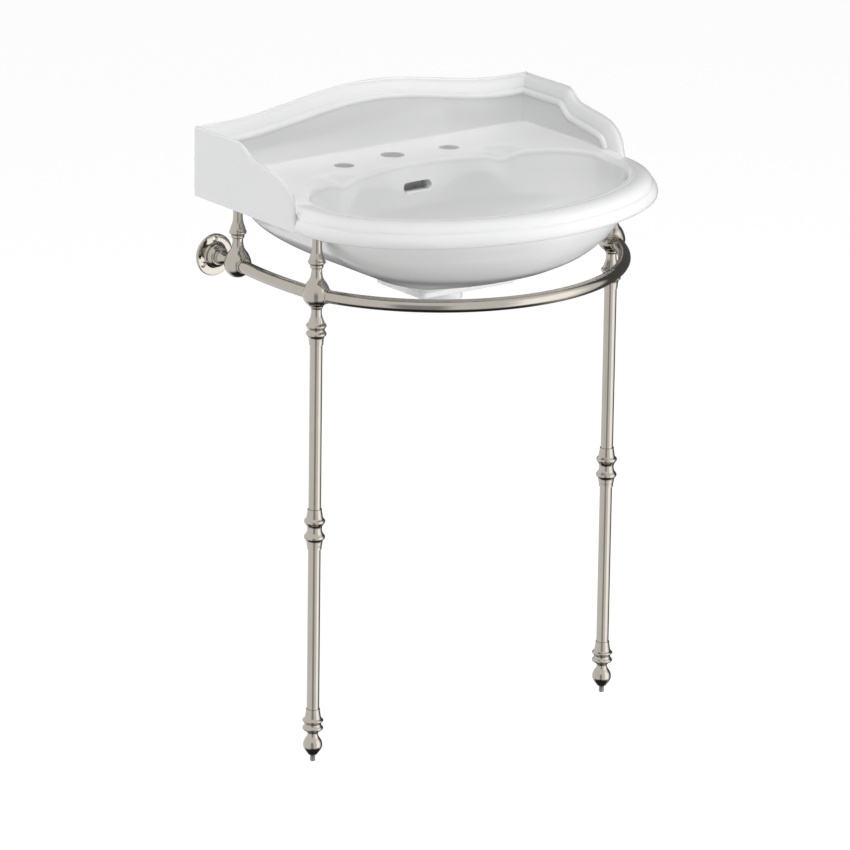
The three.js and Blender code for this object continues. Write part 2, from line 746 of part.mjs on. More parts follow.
// Distance from the middle at which a screw meets the inner side of its rail
function grubStart(y, side) {
  let start = 0;
  for (const [arc] of Object.values(railArcs)) {
    for (const end of [arc.from, arc.from + arc.sweep]) {
      const towards = end === arc.from ? 1 : -1;
      const turn = end + towards * grubOffset / arc.radius;
      const x = arc.centre.x + arc.radius * Math.cos(turn);
      const along = arc.centre.y + arc.radius * Math.sin(turn);
      const [tangentX, tangentY] = [Math.abs(Math.sin(turn)), Math.abs(Math.cos(turn))];
      const reach = (railRadius + 2 * clearance + grubRadius * tangentX) / tangentY;
      if (x * side > 0 && Math.abs(along - y) < railRadius) start = Math.abs(x) - reach;
    }
  }
  return start;
}

function grubScrew({ side, y }) {
  const start = grubStart(y, side);
  return sidewaysPin(grubRadius, side * start, side * (start - grubLength), y, boreSides);
}

function grubBore(place) {
  const start = grubStart(place.y, place.side) + overrun / 2;
  const end = start - overrun / 2 - ballRadius;
  const [x0, x1] = [place.side * start, place.side * end];
  return solidOf(sidewaysPin(grubRadius + clearance, x0, x1, place.y, boreSides));
}

// Wall arm: a thin ring against the flange's boss, then a cone down to a neck that
// runs into the rear ball
const armRingShares = [[0.93, 0], [1, 0.25], [1, 0.75], [0.93, 1]];
const armConeShares = [[0.84, 0], [0.88, 0.25], [0.75, 0.6], [0.48, 1]];

function armProfile() {
  const coneStart = flangeBossEnd + armRingLength;
  const ring = fromShares(armRingShares, armRingRadius, armRingLength, flangeBossEnd);
  const cone = fromShares(armConeShares, armRingRadius, armConeLength, coneStart);
  const neckStart = coneStart + armConeLength + armNeckRadius / 2;
  const end = rearBallDistance - armEndGap;
  return [
    [0, flangeBossEnd], ...ring, ...cone, [armNeckRadius, neckStart], [armNeckRadius, end], [0, end],
  ];
}

function armGeometry() {
  return turned(armProfile()).rotateX(Math.PI / 2);
}

function armBore() {
  const bore = armNeckRadius + clearance;
  const end = rearBallDistance - armEndGap + clearance;
  return solidOf(post(bore, 0, end, turnedSides).rotateX(Math.PI / 2));
}

// Short turned lip on a ball, round the mouth of a rail's bore
function socketLip([arc], x, y) {
  const atStart = Math.hypot(
    arc.centre.x + arc.radius * Math.cos(arc.from) - x, arc.centre.y + arc.radius * Math.sin(arc.from) - y,
  ) < ballRadius;
  const direction = atStart ? arc.from + Math.PI / 2 : arc.from + arc.sweep - Math.PI / 2;
  const lean = (atStart ? 1 : -1) * ballRadius / (2 * arc.radius);
  const lip = post(railRadius + socketLipWidth, 0, ballRadius + clearance, turnedSides);
  lip.rotateY(Math.PI / 2).rotateZ(direction + lean).translate(x, y, ballCentreHeight);
  return solidOf(lip);
}

function ballGeometry(side, front) {
  const distance = front ? frontLegDistance : rearBallDistance;
  const x = side * legHalfSpacing;
  const name = `${front ? 'front' : 'rear'}_ball_${side < 0 ? 'left' : 'right'}`;
  let ball = solidOf(turned(ballProfile(front)).translate(x, -distance, ballCentreHeight));
  const rails = [`towel_rail_${side < 0 ? 'left' : 'right'}`];
  if (front) rails.push('towel_rail_front');
  for (const rail of rails) ball = ball.add(socketLip(railArcs[rail], x, -distance));
  for (const rail of rails) ball = ball.subtract(solidOf(railBore(railArcs[rail])));
  if (!front) ball = ball.subtract(armBore().translate([x, 0, ballCentreHeight]));
  for (const place of grubPlaces().filter((p) => p.ball === name)) ball = ball.subtract(grubBore(place));
  return geometryOf(ball);
}

// Turned post between a ball and the basin, as shares of the ring's radius and of
// the post's height
const postShares = [
  [0.72, 0], [0.78, 0.05], [0.77, 0.1], [1, 0.14], [1, 0.19], [0.89, 0.23], [0.8, 0.32], [0.63, 0.46],
  [0.56, 0.63], [0.6, 0.83], [0.7, 0.94], [0.76, 1],
];

function postGeometry() {
  const bottom = ballCentreHeight + ballShoulderHeight;
  const height = postTop - bottom;
  const hole = studRadius + clearance;
  const depth = studLength / 2 + clearance;
  const outside = fromShares(postShares, postRingRadius, height);
  return turned([[0, depth], [hole, depth], [hole, 0], ...outside, [0, height]]).translate(0, 0, bottom);
}

// Neck under a front ball, from its lower end upwards
const neckShares = [
  [0.68, 0], [0.71, 0.1], [0.79, 0.18], [0.97, 0.24], [1, 0.29], [0.95, 0.33], [0.8, 0.37], [0.95, 0.43],
  [1, 0.48], [0.9, 0.54], [0.7, 0.63], [0.57, 0.75], [0.52, 0.87], [0.65, 1],
];

function neckGeometry() {
  const top = ballCentreHeight - ballFootDrop;
  const bottom = top - neckHeight;
  const hole = studRadius + clearance;
  const depth = neckStudLength / 2 + clearance;
  const spigot = legRadius - tubeWall - clearance;
  return turned([
    [0, -spigotLength], [spigot, -spigotLength], [spigot, 0],
    ...fromShares(neckShares, neckRingRadius, neckHeight),
    [hole, neckHeight], [hole, neckHeight - depth], [0, neckHeight - depth],
  ]).translate(0, 0, bottom);
}

// Collar halfway down a leg: shares of its radius and of its length
const midCollarShares = [
  [0.68, 0], [0.71, 0.1], [0.77, 0.2], [1, 0.28], [0.97, 0.34], [0.78, 0.4], [0.7, 0.5], [0.78, 0.6],
  [0.97, 0.66], [1, 0.72], [0.77, 0.8], [0.71, 0.9], [0.68, 1],
];

function midCollarGeometry() {
  const spigot = legRadius - tubeWall - clearance;
  const top = midCollarLength + spigotLength;
  return turned([
    [0, -spigotLength], [spigot, -spigotLength], [spigot, 0],
    ...fromShares(midCollarShares, midCollarRadius, midCollarLength),
    [spigot, midCollarLength], [spigot, top], [0, top],
  ]).translate(0, 0, midCollarHeight - midCollarLength / 2);
}

// Collar at the foot of a leg: the levelling stud runs up into it
const footCollarShares = [
  [0.65, 0], [0.88, 0.05], [1, 0.12], [0.97, 0.18], [0.82, 0.25], [0.8, 0.32], [0.95, 0.4], [1, 0.46],
  [0.92, 0.53], [0.8, 0.6], [0.72, 0.75], [0.68, 1],
];

function footCollarGeometry() {
  const spigot = legRadius - tubeWall - clearance;
  const top = footCollarLength + spigotLength;
  const hole = levelRadius + clearance;
  const holeTop = levelLength + levelTravelUp + 2 * clearance - footCollarBottom;
  return turned([
    [0, holeTop], [hole, holeTop], [hole, 0],
    ...fromShares(footCollarShares, footCollarRadius, footCollarLength),
    [spigot, footCollarLength], [spigot, top], [0, top],
  ]).translate(0, 0, footCollarBottom);
}

// Ball foot: shares of its radius and of its height
const ballFootShares = [
  [0.42, 0], [0.55, 0.06], [0.86, 0.2], [0.98, 0.34], [0.99, 0.46], [0.86, 0.62], [0.63, 0.76],
  [0.55, 0.87], [0.6, 0.95], [0.7, 1],
];

function ballFootGeometry() {
  const height = footCollarBottom - ballFootBottom;
  const hole = levelRadius + clearance;
  const outside = fromShares(ballFootShares, ballFootRadius, height);
  return turned([[hole, 0], ...outside, [hole, height], [hole, 0]]).translate(0, 0, ballFootBottom);
}

function levellingStudGeometry() {
  const inner = levelRadius - levelChamfer;
  const stud = solidOf(turned([
    [0, 0], [inner, 0], [levelRadius, levelChamfer], [levelRadius, levelLength - levelChamfer],
    [inner, levelLength], [0, levelLength],
  ]));
  const half = levelSlotWidth / 2;
  const slot = block(-levelRadius - overrun, levelRadius + overrun, -half, half, -overrun, levelSlotDepth);
  return geometryOf(stud.subtract(solidOf(slot)));
}

function tubeGeometry(bottom, top) {
  const inner = legRadius - tubeWall;
  return turned([[inner, 0], [legRadius, 0], [legRadius, top - bottom], [inner, top - bottom], [inner, 0]])
    .translate(0, 0, bottom);
}

function padGeometry() {
  return turned([[0, 0], [padRadius, 0], [padRadius, padThickness], [0, padThickness]])
    .translate(0, 0, postTop);
}

function upperStudGeometry() {
  const middle = ballCentreHeight + ballShoulderHeight;
  return post(studRadius, middle - studLength / 2, middle + studLength / 2);
}

function lowerStudGeometry() {
  const middle = ballCentreHeight - ballFootDrop;
  return post(studRadius, middle - neckStudLength / 2, middle + neckStudLength / 2);
}

// Wall flange: the dome of its boss as shares of its radius and height, then the
// screw holes
const flangeBossShares = [[1.1, 0], [1, 0.16], [0.98, 0.5], [0.9, 0.76], [0.77, 0.92], [0.66, 1]];

function flangeGeometry() {
  const bossHeightAbove = flangeBossEnd - flangeThickness;
  const rimRadius = flangeRadius - flangeRounding;
  const boss = fromShares(flangeBossShares, flangeBossRadius, bossHeightAbove, flangeThickness);
  let flange = solidOf(turned([
    [0, 0], [flangeRadius, 0], [flangeRadius, flangeThickness - flangeRounding],
    [rimRadius, flangeThickness], ...boss, [0, flangeBossEnd],
  ], flangeSides));
  for (let k = 0; k < flangeHoleCount; k += 1) {
    const turn = Math.PI / 2 + 2 * Math.PI * k / flangeHoleCount;
    const sink = turned([
      [0, -overrun], [flangeHoleRadius, -overrun], [flangeHoleRadius, flangeThickness / 2],
      [flangeHoleSinkRadius, flangeThickness + clearance], [0, flangeThickness + clearance],
    ], boreSides);
    const [x, y] = [Math.cos(turn), Math.sin(turn)].map((share) => flangeHoleCircleRadius * share);
    sink.translate(x, y, 0);
    flange = flange.subtract(solidOf(sink));
  }
  return geometryOf(flange).rotateX(Math.PI / 2);
}

// Materials
const china = () => new THREE.MeshStandardMaterial({ color: '#f2f3f3', roughness: 0.12, metalness: 0 });
const nickel = () => new THREE.MeshStandardMaterial({ color: '#b9b2a5', roughness: 0.14, metalness: 1 });
const steel = () => new THREE.MeshStandardMaterial({ color: '#8f8f8d', roughness: 0.35, metalness: 1 });
const rubber = () => new THREE.MeshStandardMaterial({ color: '#2a2a2a', roughness: 0.7, metalness: 0 });

const stand = new THREE.Group();
stand.position.y = basinDepth / 2;

function place(name, geometry, material, x = 0, y = 0, z = 0) {
  const skin = facingOut(geometry);
  skin.computeVertexNormals();
  const mesh = new THREE.Mesh(skin, material);
  mesh.name = name;
  mesh.position.set(x, y, z);
  stand.add(mesh);
}

place('basin', basinGeometry(), china());

for (const [name, rail] of Object.entries(railArcs)) {
  place(name, railGeometry(rail), nickel());
}
for (const spot of grubPlaces()) {
  place(`grub_screw_${spot.name}`, grubScrew(spot), steel());
}

for (const [side, hand] of [[-1, 'left'], [1, 'right']]) {
  const x = side * legHalfSpacing;
  for (const where of ['front', 'rear']) {
    const front = where === 'front';
    const distance = front ? frontLegDistance : rearBallDistance;
    place(`post_pad_${where}_${hand}`, padGeometry(), rubber(), x, -distance);
    place(`post_${where}_${hand}`, postGeometry(), nickel(), x, -distance);
    place(`post_stud_${where}_${hand}`, upperStudGeometry(), steel(), x, -distance);
    place(`${where}_ball_${hand}`, ballGeometry(side, front), nickel());
  }
  place(`neck_stud_${hand}`, lowerStudGeometry(), steel(), x, -frontLegDistance);
  place(`neck_${hand}`, neckGeometry(), nickel(), x, -frontLegDistance);
  const neckBottom = ballCentreHeight - ballFootDrop - neckHeight;
  const collarTop = midCollarHeight + midCollarLength / 2;
  const collarBottom = midCollarHeight - midCollarLength / 2;
  const footTop = footCollarBottom + footCollarLength;
  place(`upper_leg_tube_${hand}`, tubeGeometry(collarTop, neckBottom), nickel(), x, -frontLegDistance);
  place(`leg_collar_${hand}`, midCollarGeometry(), nickel(), x, -frontLegDistance);
  place(`lower_leg_tube_${hand}`, tubeGeometry(footTop, collarBottom), nickel(), x, -frontLegDistance);
  place(`foot_collar_${hand}`, footCollarGeometry(), nickel(), x, -frontLegDistance);
  place(`ball_foot_${hand}`, ballFootGeometry(), nickel(), x, -frontLegDistance);
  place(`levelling_stud_${hand}`, levellingStudGeometry(), steel(), x, -frontLegDistance);
  place(`wall_arm_${hand}`, armGeometry(), nickel(), x, 0, ballCentreHeight);
  place(`wall_flange_${hand}`, flangeGeometry(), nickel(), x, 0, ballCentreHeight);
}

export default stand;
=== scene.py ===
import math
import bpy
import bmesh
import numpy as np
from mathutils import Matrix, Vector


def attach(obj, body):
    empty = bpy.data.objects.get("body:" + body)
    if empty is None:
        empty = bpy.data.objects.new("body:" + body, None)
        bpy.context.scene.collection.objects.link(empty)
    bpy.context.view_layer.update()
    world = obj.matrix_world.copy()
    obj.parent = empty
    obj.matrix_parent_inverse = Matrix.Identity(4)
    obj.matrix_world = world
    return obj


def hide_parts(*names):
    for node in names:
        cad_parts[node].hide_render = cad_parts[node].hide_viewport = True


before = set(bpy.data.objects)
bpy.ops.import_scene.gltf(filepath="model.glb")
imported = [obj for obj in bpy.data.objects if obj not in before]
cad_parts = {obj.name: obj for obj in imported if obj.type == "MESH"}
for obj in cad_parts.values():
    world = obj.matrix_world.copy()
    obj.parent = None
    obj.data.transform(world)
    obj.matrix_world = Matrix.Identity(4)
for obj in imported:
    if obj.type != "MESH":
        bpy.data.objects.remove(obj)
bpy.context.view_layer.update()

# Camera. The basin is seen from its front left, a little above the rim, from
# about nine metres with a long lens, so that upright lines stay nearly parallel.
# Places are worked out in millimetres from the wall: x across, y out from the
# wall (negative towards the room), z up from the floor.
MM = 0.001
WALL_PLANE = 238.0
IMAGE_SIDE = 850.0
SENSOR = 36.0

scene = bpy.context.scene


def new_object(name, data):
    thing = bpy.data.objects.new(name, data)
    scene.collection.objects.link(thing)
    return thing


turn, lift, roll = (math.radians(a) for a in (-36.817, 16.994, 0.815))
focal_pixels = 6234.154
towards_camera = Vector((math.sin(turn) * math.cos(lift),
                         -math.cos(turn) * math.cos(lift), math.sin(lift)))
level_right = (-towards_camera).cross(Vector((0, 0, 1))).normalized()
level_up = level_right.cross(-towards_camera)
right = math.cos(roll) * level_right + math.sin(roll) * level_up
up = math.cos(roll) * level_up - math.sin(roll) * level_right
AIM, ASIDE, UPWARDS, AWAY = Vector((0, -130, 450)), 18.983, -18.049, 9154.015
eye = AIM + ASIDE * level_right + UPWARDS * level_up + AWAY * towards_camera

camera_data = bpy.data.cameras.new("camera")
camera_data.sensor_width = SENSOR
camera_data.lens = SENSOR * focal_pixels / IMAGE_SIDE
camera_data.clip_start = 0.1
camera_data.clip_end = 100.0
camera = new_object("camera", camera_data)
camera.matrix_world = Matrix((
    (right.x, up.x, towards_camera.x, eye.x * MM),
    (right.y, up.y, towards_camera.y, (eye.y + WALL_PLANE) * MM),
    (right.z, up.z, towards_camera.z, eye.z * MM),
    (0, 0, 0, 1)))
scene.camera = camera


# Basin. One casting of vitreous china: an oval bowl in a moulded rim, a flat
# deck for three taps and a raised moulded back and sides. Slip cast in plaster
# moulds, sponged at the joins, sprayed with white glaze and fired once.
WIDTH, DEPTH, WALL_THICK = 600.0, 476.0, 22.0
# Heights above the floor, and how far the crest rises over the corners
UNDERSIDE, DECK, CORNER, BOWL_FLOOR = 795.0, 829.0, 898.0, 703.0
CREST_RISE, CREST_HALF = 28.0, 262.0
# Distances out from the wall
ARC_CENTRE, DECK_START, WASTE = 262.0, 225.0, 198.0
# Insets from the outer line: the groove, and what the side walls hide of the rim
GROOVE, HIDDEN = 31.7, 11.0
# Opening of the bowl, and the radius of its lip
HALF_OPENING, OPENING_FRONT, LIP = 252.0, 171.0, 8.0


def between(p, q, low, high, t):
    return (high - t) / (high - low) * p + (t - low) / (high - low) * q


def smooth_line(points, steps, closed=False):
    """Points of a Catmull-Rom line through the given points."""
    given = np.array(points, float)
    if closed:
        padded = np.vstack([given[-1], given, given[:2]])
    else:
        padded = np.vstack([2 * given[0] - given[1], given, 2 * given[-1] - given[-2]])
    line = []
    for k in range(len(padded) - 3):
        a, b, c, d = padded[k:k + 4]
        knots = [0.0]
        for p, q in ((a, b), (b, c), (c, d)):
            knots.append(knots[-1] + max(np.linalg.norm(q - p), 1e-9) ** 0.5)
        for t in np.linspace(knots[1], knots[2], steps, endpoint=False):
            ab = between(a, b, knots[0], knots[1], t)
            bc = between(b, c, knots[1], knots[2], t)
            cd = between(c, d, knots[2], knots[3], t)
            before = between(ab, bc, knots[0], knots[2], t)
            after = between(bc, cd, knots[1], knots[3], t)
            line.append(between(before, after, knots[1], knots[2], t))
    if not closed:
        line.append(given[-1])
    return np.array(line)


def soft_step(value, low, high):
    """Goes smoothly from 0 at the low value to 1 at the high one."""
    share = np.clip((np.asarray(value, float) - low) / (high - low), 0, 1)
    return share * share * (3 - 2 * share)


def mesh_of(name, points, faces):
    """Object at the origin whose points are given in millimetres from the wall."""
    mesh = bpy.data.meshes.new(name)
    placed = (np.array(points, float) + (0, WALL_PLANE, 0)) * MM
    mesh.from_pydata(placed.tolist(), [], [list(map(int, f)) for f in faces])
    mesh.validate()
    return new_object(name, mesh)


def face_outwards(thing, weld=0.00001):
    """Welds points that lie together and turns all faces outwards."""
    shell = bmesh.new()
    shell.from_mesh(thing.data)
    bmesh.ops.remove_doubles(shell, verts=shell.verts, dist=weld)
    bmesh.ops.recalc_face_normals(shell, faces=shell.faces)
    if shell.calc_volume(signed=True) < 0:
        bmesh.ops.reverse_faces(shell, faces=shell.faces)
    shell.to_mesh(thing.data)
    shell.free()
    return thing


def ring_faces(rings, stations, closed_rows=False):
    """Faces between rings of points; the last ring may join the first."""
    faces = []
    for row in range(rings if closed_rows else rings - 1):
        nxt = (row + 1) % rings
        for k in range(stations):
            n = (k + 1) % stations
            faces.append((row * stations + k, row * stations + n,
                          nxt * stations + n, nxt * stations + k))
    return faces


# Directions from the middle of the bowl in degrees, closest together where the
# rim runs into the sides
quarter = np.concatenate([
    np.arange(-90, -8, 1.0), np.arange(-8, 10, 0.5), np.arange(10, 90, 1.08)])
angles = np.radians(np.concatenate([quarter, 180 - quarter[::-1]]))
angles = np.unique(np.round(angles, 9))[:-1]
ray = np.stack([np.cos(angles), np.sin(angles)], 1)
stations = len(angles)
middle = np.array([0, -ARC_CENTRE])
in_front = ray[:, 1] <= 1e-9

# Outer line: half an ellipse in front; behind it, a line that sinks into the
# walls between these distances from the wall plane, first a little, then fully
SINK_STARTS, SINK_ENDS = (253, 244), (249, 228)
half, arc = WIDTH / 2, DEPTH - ARC_CENTRE
reach = 1 / np.sqrt((ray[:, 0] / half) ** 2 + (ray[:, 1] / arc) ** 2)
ellipse = middle + ray * reach[:, None]
normal = np.stack([ellipse[:, 0] / half ** 2, (ellipse[:, 1] + ARC_CENTRE) / arc ** 2], 1)
normal /= np.linalg.norm(normal, axis=1)[:, None]


def behind(inset):
    """Points on the rays, on the straight outer lines moved inwards."""
    sunk = HIDDEN * (1 - inset / GROOVE)
    back = (ARC_CENTRE - sunk - inset) / np.maximum(ray[:, 1], 1e-6)
    side_at = np.full(stations, half - inset)
    for _ in range(12):
        y = side_at / np.maximum(np.abs(ray[:, 0]), 1e-6) * ray[:, 1] - ARC_CENTRE
        first_part = 0.05 * soft_step(y, -SINK_STARTS[0], -SINK_ENDS[0])
        main_part = 0.95 * soft_step(y, -SINK_STARTS[1], -SINK_ENDS[1])
        side_at = half - inset - sunk * (first_part + main_part)
    side = side_at / np.maximum(np.abs(ray[:, 0]), 1e-6)
    return middle + ray * np.minimum(back, side)[:, None]


def outline(inset):
    return np.where(in_front[:, None], ellipse - normal * inset, behind(inset))


plan = outline(0)
rim_share = 1 - soft_step(plan[:, 1], -ARC_CENTRE, -DECK_START)
rim_share[in_front] = 1

# Edge of the bowl's opening, measured from its middle
half_opening = [
    (0, -126), (38, -128.5), (62, -133.5), (86, -140), (108, -145), (130, -149), (152, -153.5),
    (172, -158.5), (188, -164), (202, -170.5), (215, -178), (226.5, -187), (236, -198), (244, -211),
    (249.5, -225.5), (251.6, -243), (HALF_OPENING, -ARC_CENTRE)]
front_part = [(HALF_OPENING * math.cos(a), -ARC_CENTRE - OPENING_FRONT * math.sin(a))
              for a in np.linspace(0, math.pi, 25)[1:-1]]
opening = half_opening + front_part + [(-x, y) for x, y in half_opening[:0:-1]]
opening = smooth_line(opening, 12, closed=True) - middle
opening_turn = np.arctan2(opening[:, 1], opening[:, 0])
order = np.argsort(opening_turn)
opening_reach = np.hypot(opening[:, 0], opening[:, 1])[order]
opening_turn = opening_turn[order]


def opening_at(turns):
    wrapped = (np.asarray(turns) + math.pi) % (2 * math.pi) - math.pi
    return np.interp(wrapped, opening_turn, opening_reach, period=2 * math.pi)


edge = middle + ray * opening_at(angles)[:, None]

rings = []


def add_ring(points, height):
    height = np.broadcast_to(np.asarray(height, float), (stations,))
    rings.append(np.column_stack([points, height]))


def circle(radius, distance):
    return np.array([0, -distance]) + ray * radius


# Waste bore from its top to the boss, and the boss's foot and side
for radius, height in [(21.5, 697.4), (21.5, 690), (21.5, 678), (21.5, 660), (21.5, 645),
                       (21.8, 643.8), (22.6, 643.1), (23.6, 643), (26, 643), (28.2, 643),
                       (29.2, 643.3), (29.8, 644), (30, 645), (30, 652), (30, 660), (30.3, 662.4),
                       (31, 664.6), (32.2, 666.2), (34, 667)]:
    add_ring(circle(radius, WASTE), height)

# Flat foot: a rounded rectangle that the basin stands on before it is hung
FOOT_HALF, FOOT_FRONT, FOOT_BACK, FOOT_CORNER = 86.0, 265.0, 150.0, 9.0


def foot_line(inset):
    centre = np.array([0, -(FOOT_FRONT + FOOT_BACK) / 2])
    wide = FOOT_HALF - inset
    deep = (FOOT_FRONT - FOOT_BACK) / 2 - inset
    corner = max(FOOT_CORNER - inset, 2)
    found = []
    for dx, dy in ray:
        low, high = 0.0, 400.0
        for _ in range(40):
            mid = (low + high) / 2
            qx, qy = abs(dx * mid) - (wide - corner), abs(dy * mid) - (deep - corner)
            gap = math.hypot(max(qx, 0), max(qy, 0)) + min(max(qx, qy), 0) - corner
            low, high = (mid, high) if gap < 0 else (low, mid)
        found.append((dx * low, dy * low))
    return centre + np.array(found)


FOOT_FACE = 667.0
boss_ring = circle(34, WASTE)
foot_flat = foot_line(4)
for share in (0.33, 0.66, 1):
    add_ring(boss_ring + (foot_flat - boss_ring) * share, FOOT_FACE)
for inset, height in [(1.6, 667.15), (0.6, 667.7), (0.1, 668.7), (0, 670), (0, 672.4)]:
    add_ring(foot_line(inset), height)

# Outside of the bowl: square at the back and oval in front, running out into the
# foot in one sweep
BODY_CENTRE, BODY_HALF, BODY_FRONT, BODY_BACK = 250.0, 256.0, 202.0, 224.0
BODY_DEPTH, SQUARENESS = 107.0, 14
body_shares = [
    (0.8, 0.63, 0.61, 0.56), (0.68, 0.745, 0.735, 0.7), (0.54, 0.84, 0.825, 0.82),
    (0.38, 0.917, 0.9, 0.915), (0.2, 0.968, 0.955, 0.975), (0.06, 0.992, 0.985, 1)]


def body_line(wide, forwards, backwards):
    x, y = ray[:, 0] / (BODY_HALF * wide), ray[:, 1]
    front = 1 / np.sqrt(x ** 2 + (y / (BODY_FRONT * forwards)) ** 2)
    back = (np.abs(x) ** SQUARENESS
            + np.abs(y / (BODY_BACK * backwards)) ** SQUARENESS) ** (-1 / SQUARENESS)
    return np.array([0, -BODY_CENTRE]) + ray * np.where(y < 0, front, back)[:, None]


foot_edge = foot_line(0)
low_body = body_line(*body_shares[0][1:])
low_height = UNDERSIDE - BODY_DEPTH * body_shares[0][0]
sweep = smooth_line([
    (1.0, 674.8), (0.975, 677.4), (0.86, 681.5), (0.7, 686), (0.41, 694), (0.2, 701.6),
    (0, low_height)], 3)
for share, height in sweep[:-1]:
    add_ring(low_body + (foot_edge - low_body) * share, height)
body = smooth_line([(UNDERSIDE - BODY_DEPTH * d, w, f, b) for d, w, f, b in body_shares], 4)
for height, wide, forwards, backwards in body:
    add_ring(body_line(wide, forwards, backwards), height)
top_body = body_line(0.995, 0.99, 1.0)
add_ring(top_body, UNDERSIDE - 2.2)
out = top_body - np.array([0, -BODY_CENTRE])
out /= np.linalg.norm(out, axis=1)[:, None]
for spread, drop in [(0.3, 1.2), (0.9, 0.5), (1.8, 0.1), (2.6, 0)]:
    add_ring(top_body + out * spread, UNDERSIDE - drop)

# Underside and rim, up to the thin groove round the inner bead. Each point is an
# inset from the outer line and a height. Behind, the rim runs out: its lip ends
# just above the underside, and all above the bead rises to the deck.
add_ring(outline(12), UNDERSIDE)
LIP_BOTTOM, BEAD_TOP, BEAD_INSET = 793.5, 810.0, 6.0
rim_section = smooth_line([
    (8.8, LIP_BOTTOM), (5.8, 793.6), (3.2, 794.2), (1.3, 795.6), (0.3, 797.8), (0, 800.4), (0.3, 803.2),
    (1.2, 806.2), (2.6, 809), (4.1, 811.1), (5.4, 812.3), (6.3, 812.9), (7.1, 813.2), (7.6, 813.9),
    (7.8, 815.2), (8.6, 817.4), (10.4, 820), (13, 822.6), (16.2, 824.8), (19.8, 826.6), (23.4, 827.8),
    (27, 828.6), (29.8, 828.75), (31, 828.6), (GROOVE, 828.45)], 2)
for inset, height in rim_section:
    if inset > BEAD_INSET and height > BEAD_TOP:
        height = height + (DECK - height) * (1 - rim_share)
    elif height < UNDERSIDE + 2:
        height = height + (UNDERSIDE + 0.4 - LIP_BOTTOM) * (1 - rim_share)
    add_ring(outline(inset), height)
groove = rings[-1][:, :2]
first_deck = len(rings) - 1

# Deck behind, inner bead in front, and the lip of the bowl. The bead's points are
# shares of the way from the groove to the opening, and heights.
bead = smooth_line([
    (0, 828.45), (0.05, 828.6), (0.12, 828.9), (0.2, 829.15), (0.3, 829.3), (0.4, 829.25), (0.5, 829),
    (0.6, 828.4), (0.7, 827.5), (0.79, 826.3), (0.87, 824.9), (0.93, 823.5), (0.98, 822.1), (1, 821)], 3)
bead_steps = np.linspace(0, 1, len(bead))
reach_in = np.linalg.norm(edge - groove, axis=1)
flat_rings, lip_rings = 26, 7
for k in range(1, flat_rings + lip_rings + 1):
    t = k / (flat_rings + lip_rings)
    front_share = np.interp(t, bead_steps, bead[:, 0])
    front_height = np.interp(t, bead_steps, bead[:, 1])
    if k <= flat_rings:
        share = 1 - (1 - k / flat_rings) ** 1.35
        back_share = share * (reach_in - LIP) / reach_in
        back_height = DECK
    else:
        turn_down = math.pi / 2 * (k - flat_rings) / lip_rings
        back_share = 1 - LIP * (1 - math.sin(turn_down)) / reach_in
        back_height = DECK - LIP + LIP * math.cos(turn_down)
    share = back_share + (front_share - back_share) * rim_share
    height = back_height + (front_height - back_height) * rim_share
    add_ring(groove + (edge - groove) * share[:, None], height)

# Bowl, an oval pan that narrows to the waste. Its rows are shares of the depth
# and of the opening's width.
LIP_EDGE = DECK - LIP
PAN_BACK, PAN_DEPTH_SHARE, WASTE_SHARE = 120.0, 0.45, 0.145
bowl_shares = smooth_line([
    (0, 1), (0.1, 0.985), (0.22, 0.965), (0.36, 0.93), (0.5, 0.88), (0.63, 0.81), (0.75, 0.72),
    (0.85, 0.6), (0.93, 0.45), (0.98, 0.28), (1, WASTE_SHARE)], 4)
from_middle = edge - middle
oval_reach = np.where(in_front, OPENING_FRONT - 4, PAN_BACK)
oval_turn = np.arctan2(from_middle[:, 1] / oval_reach, from_middle[:, 0] / HALF_OPENING)
oval = np.stack([HALF_OPENING * np.cos(oval_turn), oval_reach * np.sin(oval_turn)], 1)
for down, spread in bowl_shares[1:]:
    blend = min(1, down / PAN_DEPTH_SHARE)
    centre = middle + (np.array([0, -WASTE]) - middle) * down ** 2
    shape = (from_middle + (oval - from_middle) * blend) * spread
    rounder = soft_step(0.6 - spread, 0, 0.6 - WASTE_SHARE)
    shape = shape * (1 - rounder) + ray * HALF_OPENING * spread * rounder
    add_ring(centre + shape, LIP_EDGE - (LIP_EDGE - BOWL_FLOOR) * down)

# Seat for the waste fitting
for radius, height in [(34.5, 702.9), (32.8, 702.6), (31.6, 701.8), (31, 700.6), (30.6, 699.5),
                       (29.6, 699.05), (26, 699), (23.4, 698.95), (22.2, 698.5)]:
    add_ring(circle(radius, WASTE), height)

grid = np.array(rings)

# Drain dips: where each end of the deck runs into the bowl, the lip is drawn down
DIP_PLACE, DIP_DEPTH, DIP_HALF, DIP_BACK, DIP_FADE = (143.0, -151.0), 8.0, 18.0, 46.0, 42.0
DIP_ALONG, DIP_INWARDS, DIP_FRONT = 60.0, 40.0, 230.0
dip_along = np.array([0.979, -0.203])
dip_out = np.array([0.203, 0.979])
for side in (-1, 1):
    x = grid[first_deck:, :, 0] * side - DIP_PLACE[0]
    y = grid[first_deck:, :, 1] - DIP_PLACE[1]
    along = x * dip_along[0] + y * dip_along[1]
    away = x * dip_out[0] + y * dip_out[1]
    width = 1 / (1 + np.abs(along / DIP_HALF) ** 3)
    behind_edge = 1 - soft_step(away, 0, DIP_BACK)
    below_edge = 1 - soft_step(LIP_EDGE - grid[first_deck:, :, 2], 0, DIP_FADE)
    near = (np.abs(along) < DIP_ALONG) & (away > -DIP_INWARDS) & (grid[first_deck:, :, 1] > -DIP_FRONT)
    grid[first_deck:, :, 2] -= np.where(near, DIP_DEPTH * width * behind_edge * below_edge, 0)

basin = mesh_of("basin_china", grid.reshape(-1, 3), ring_faces(len(grid), stations, closed_rows=True))
face_outwards(basin)


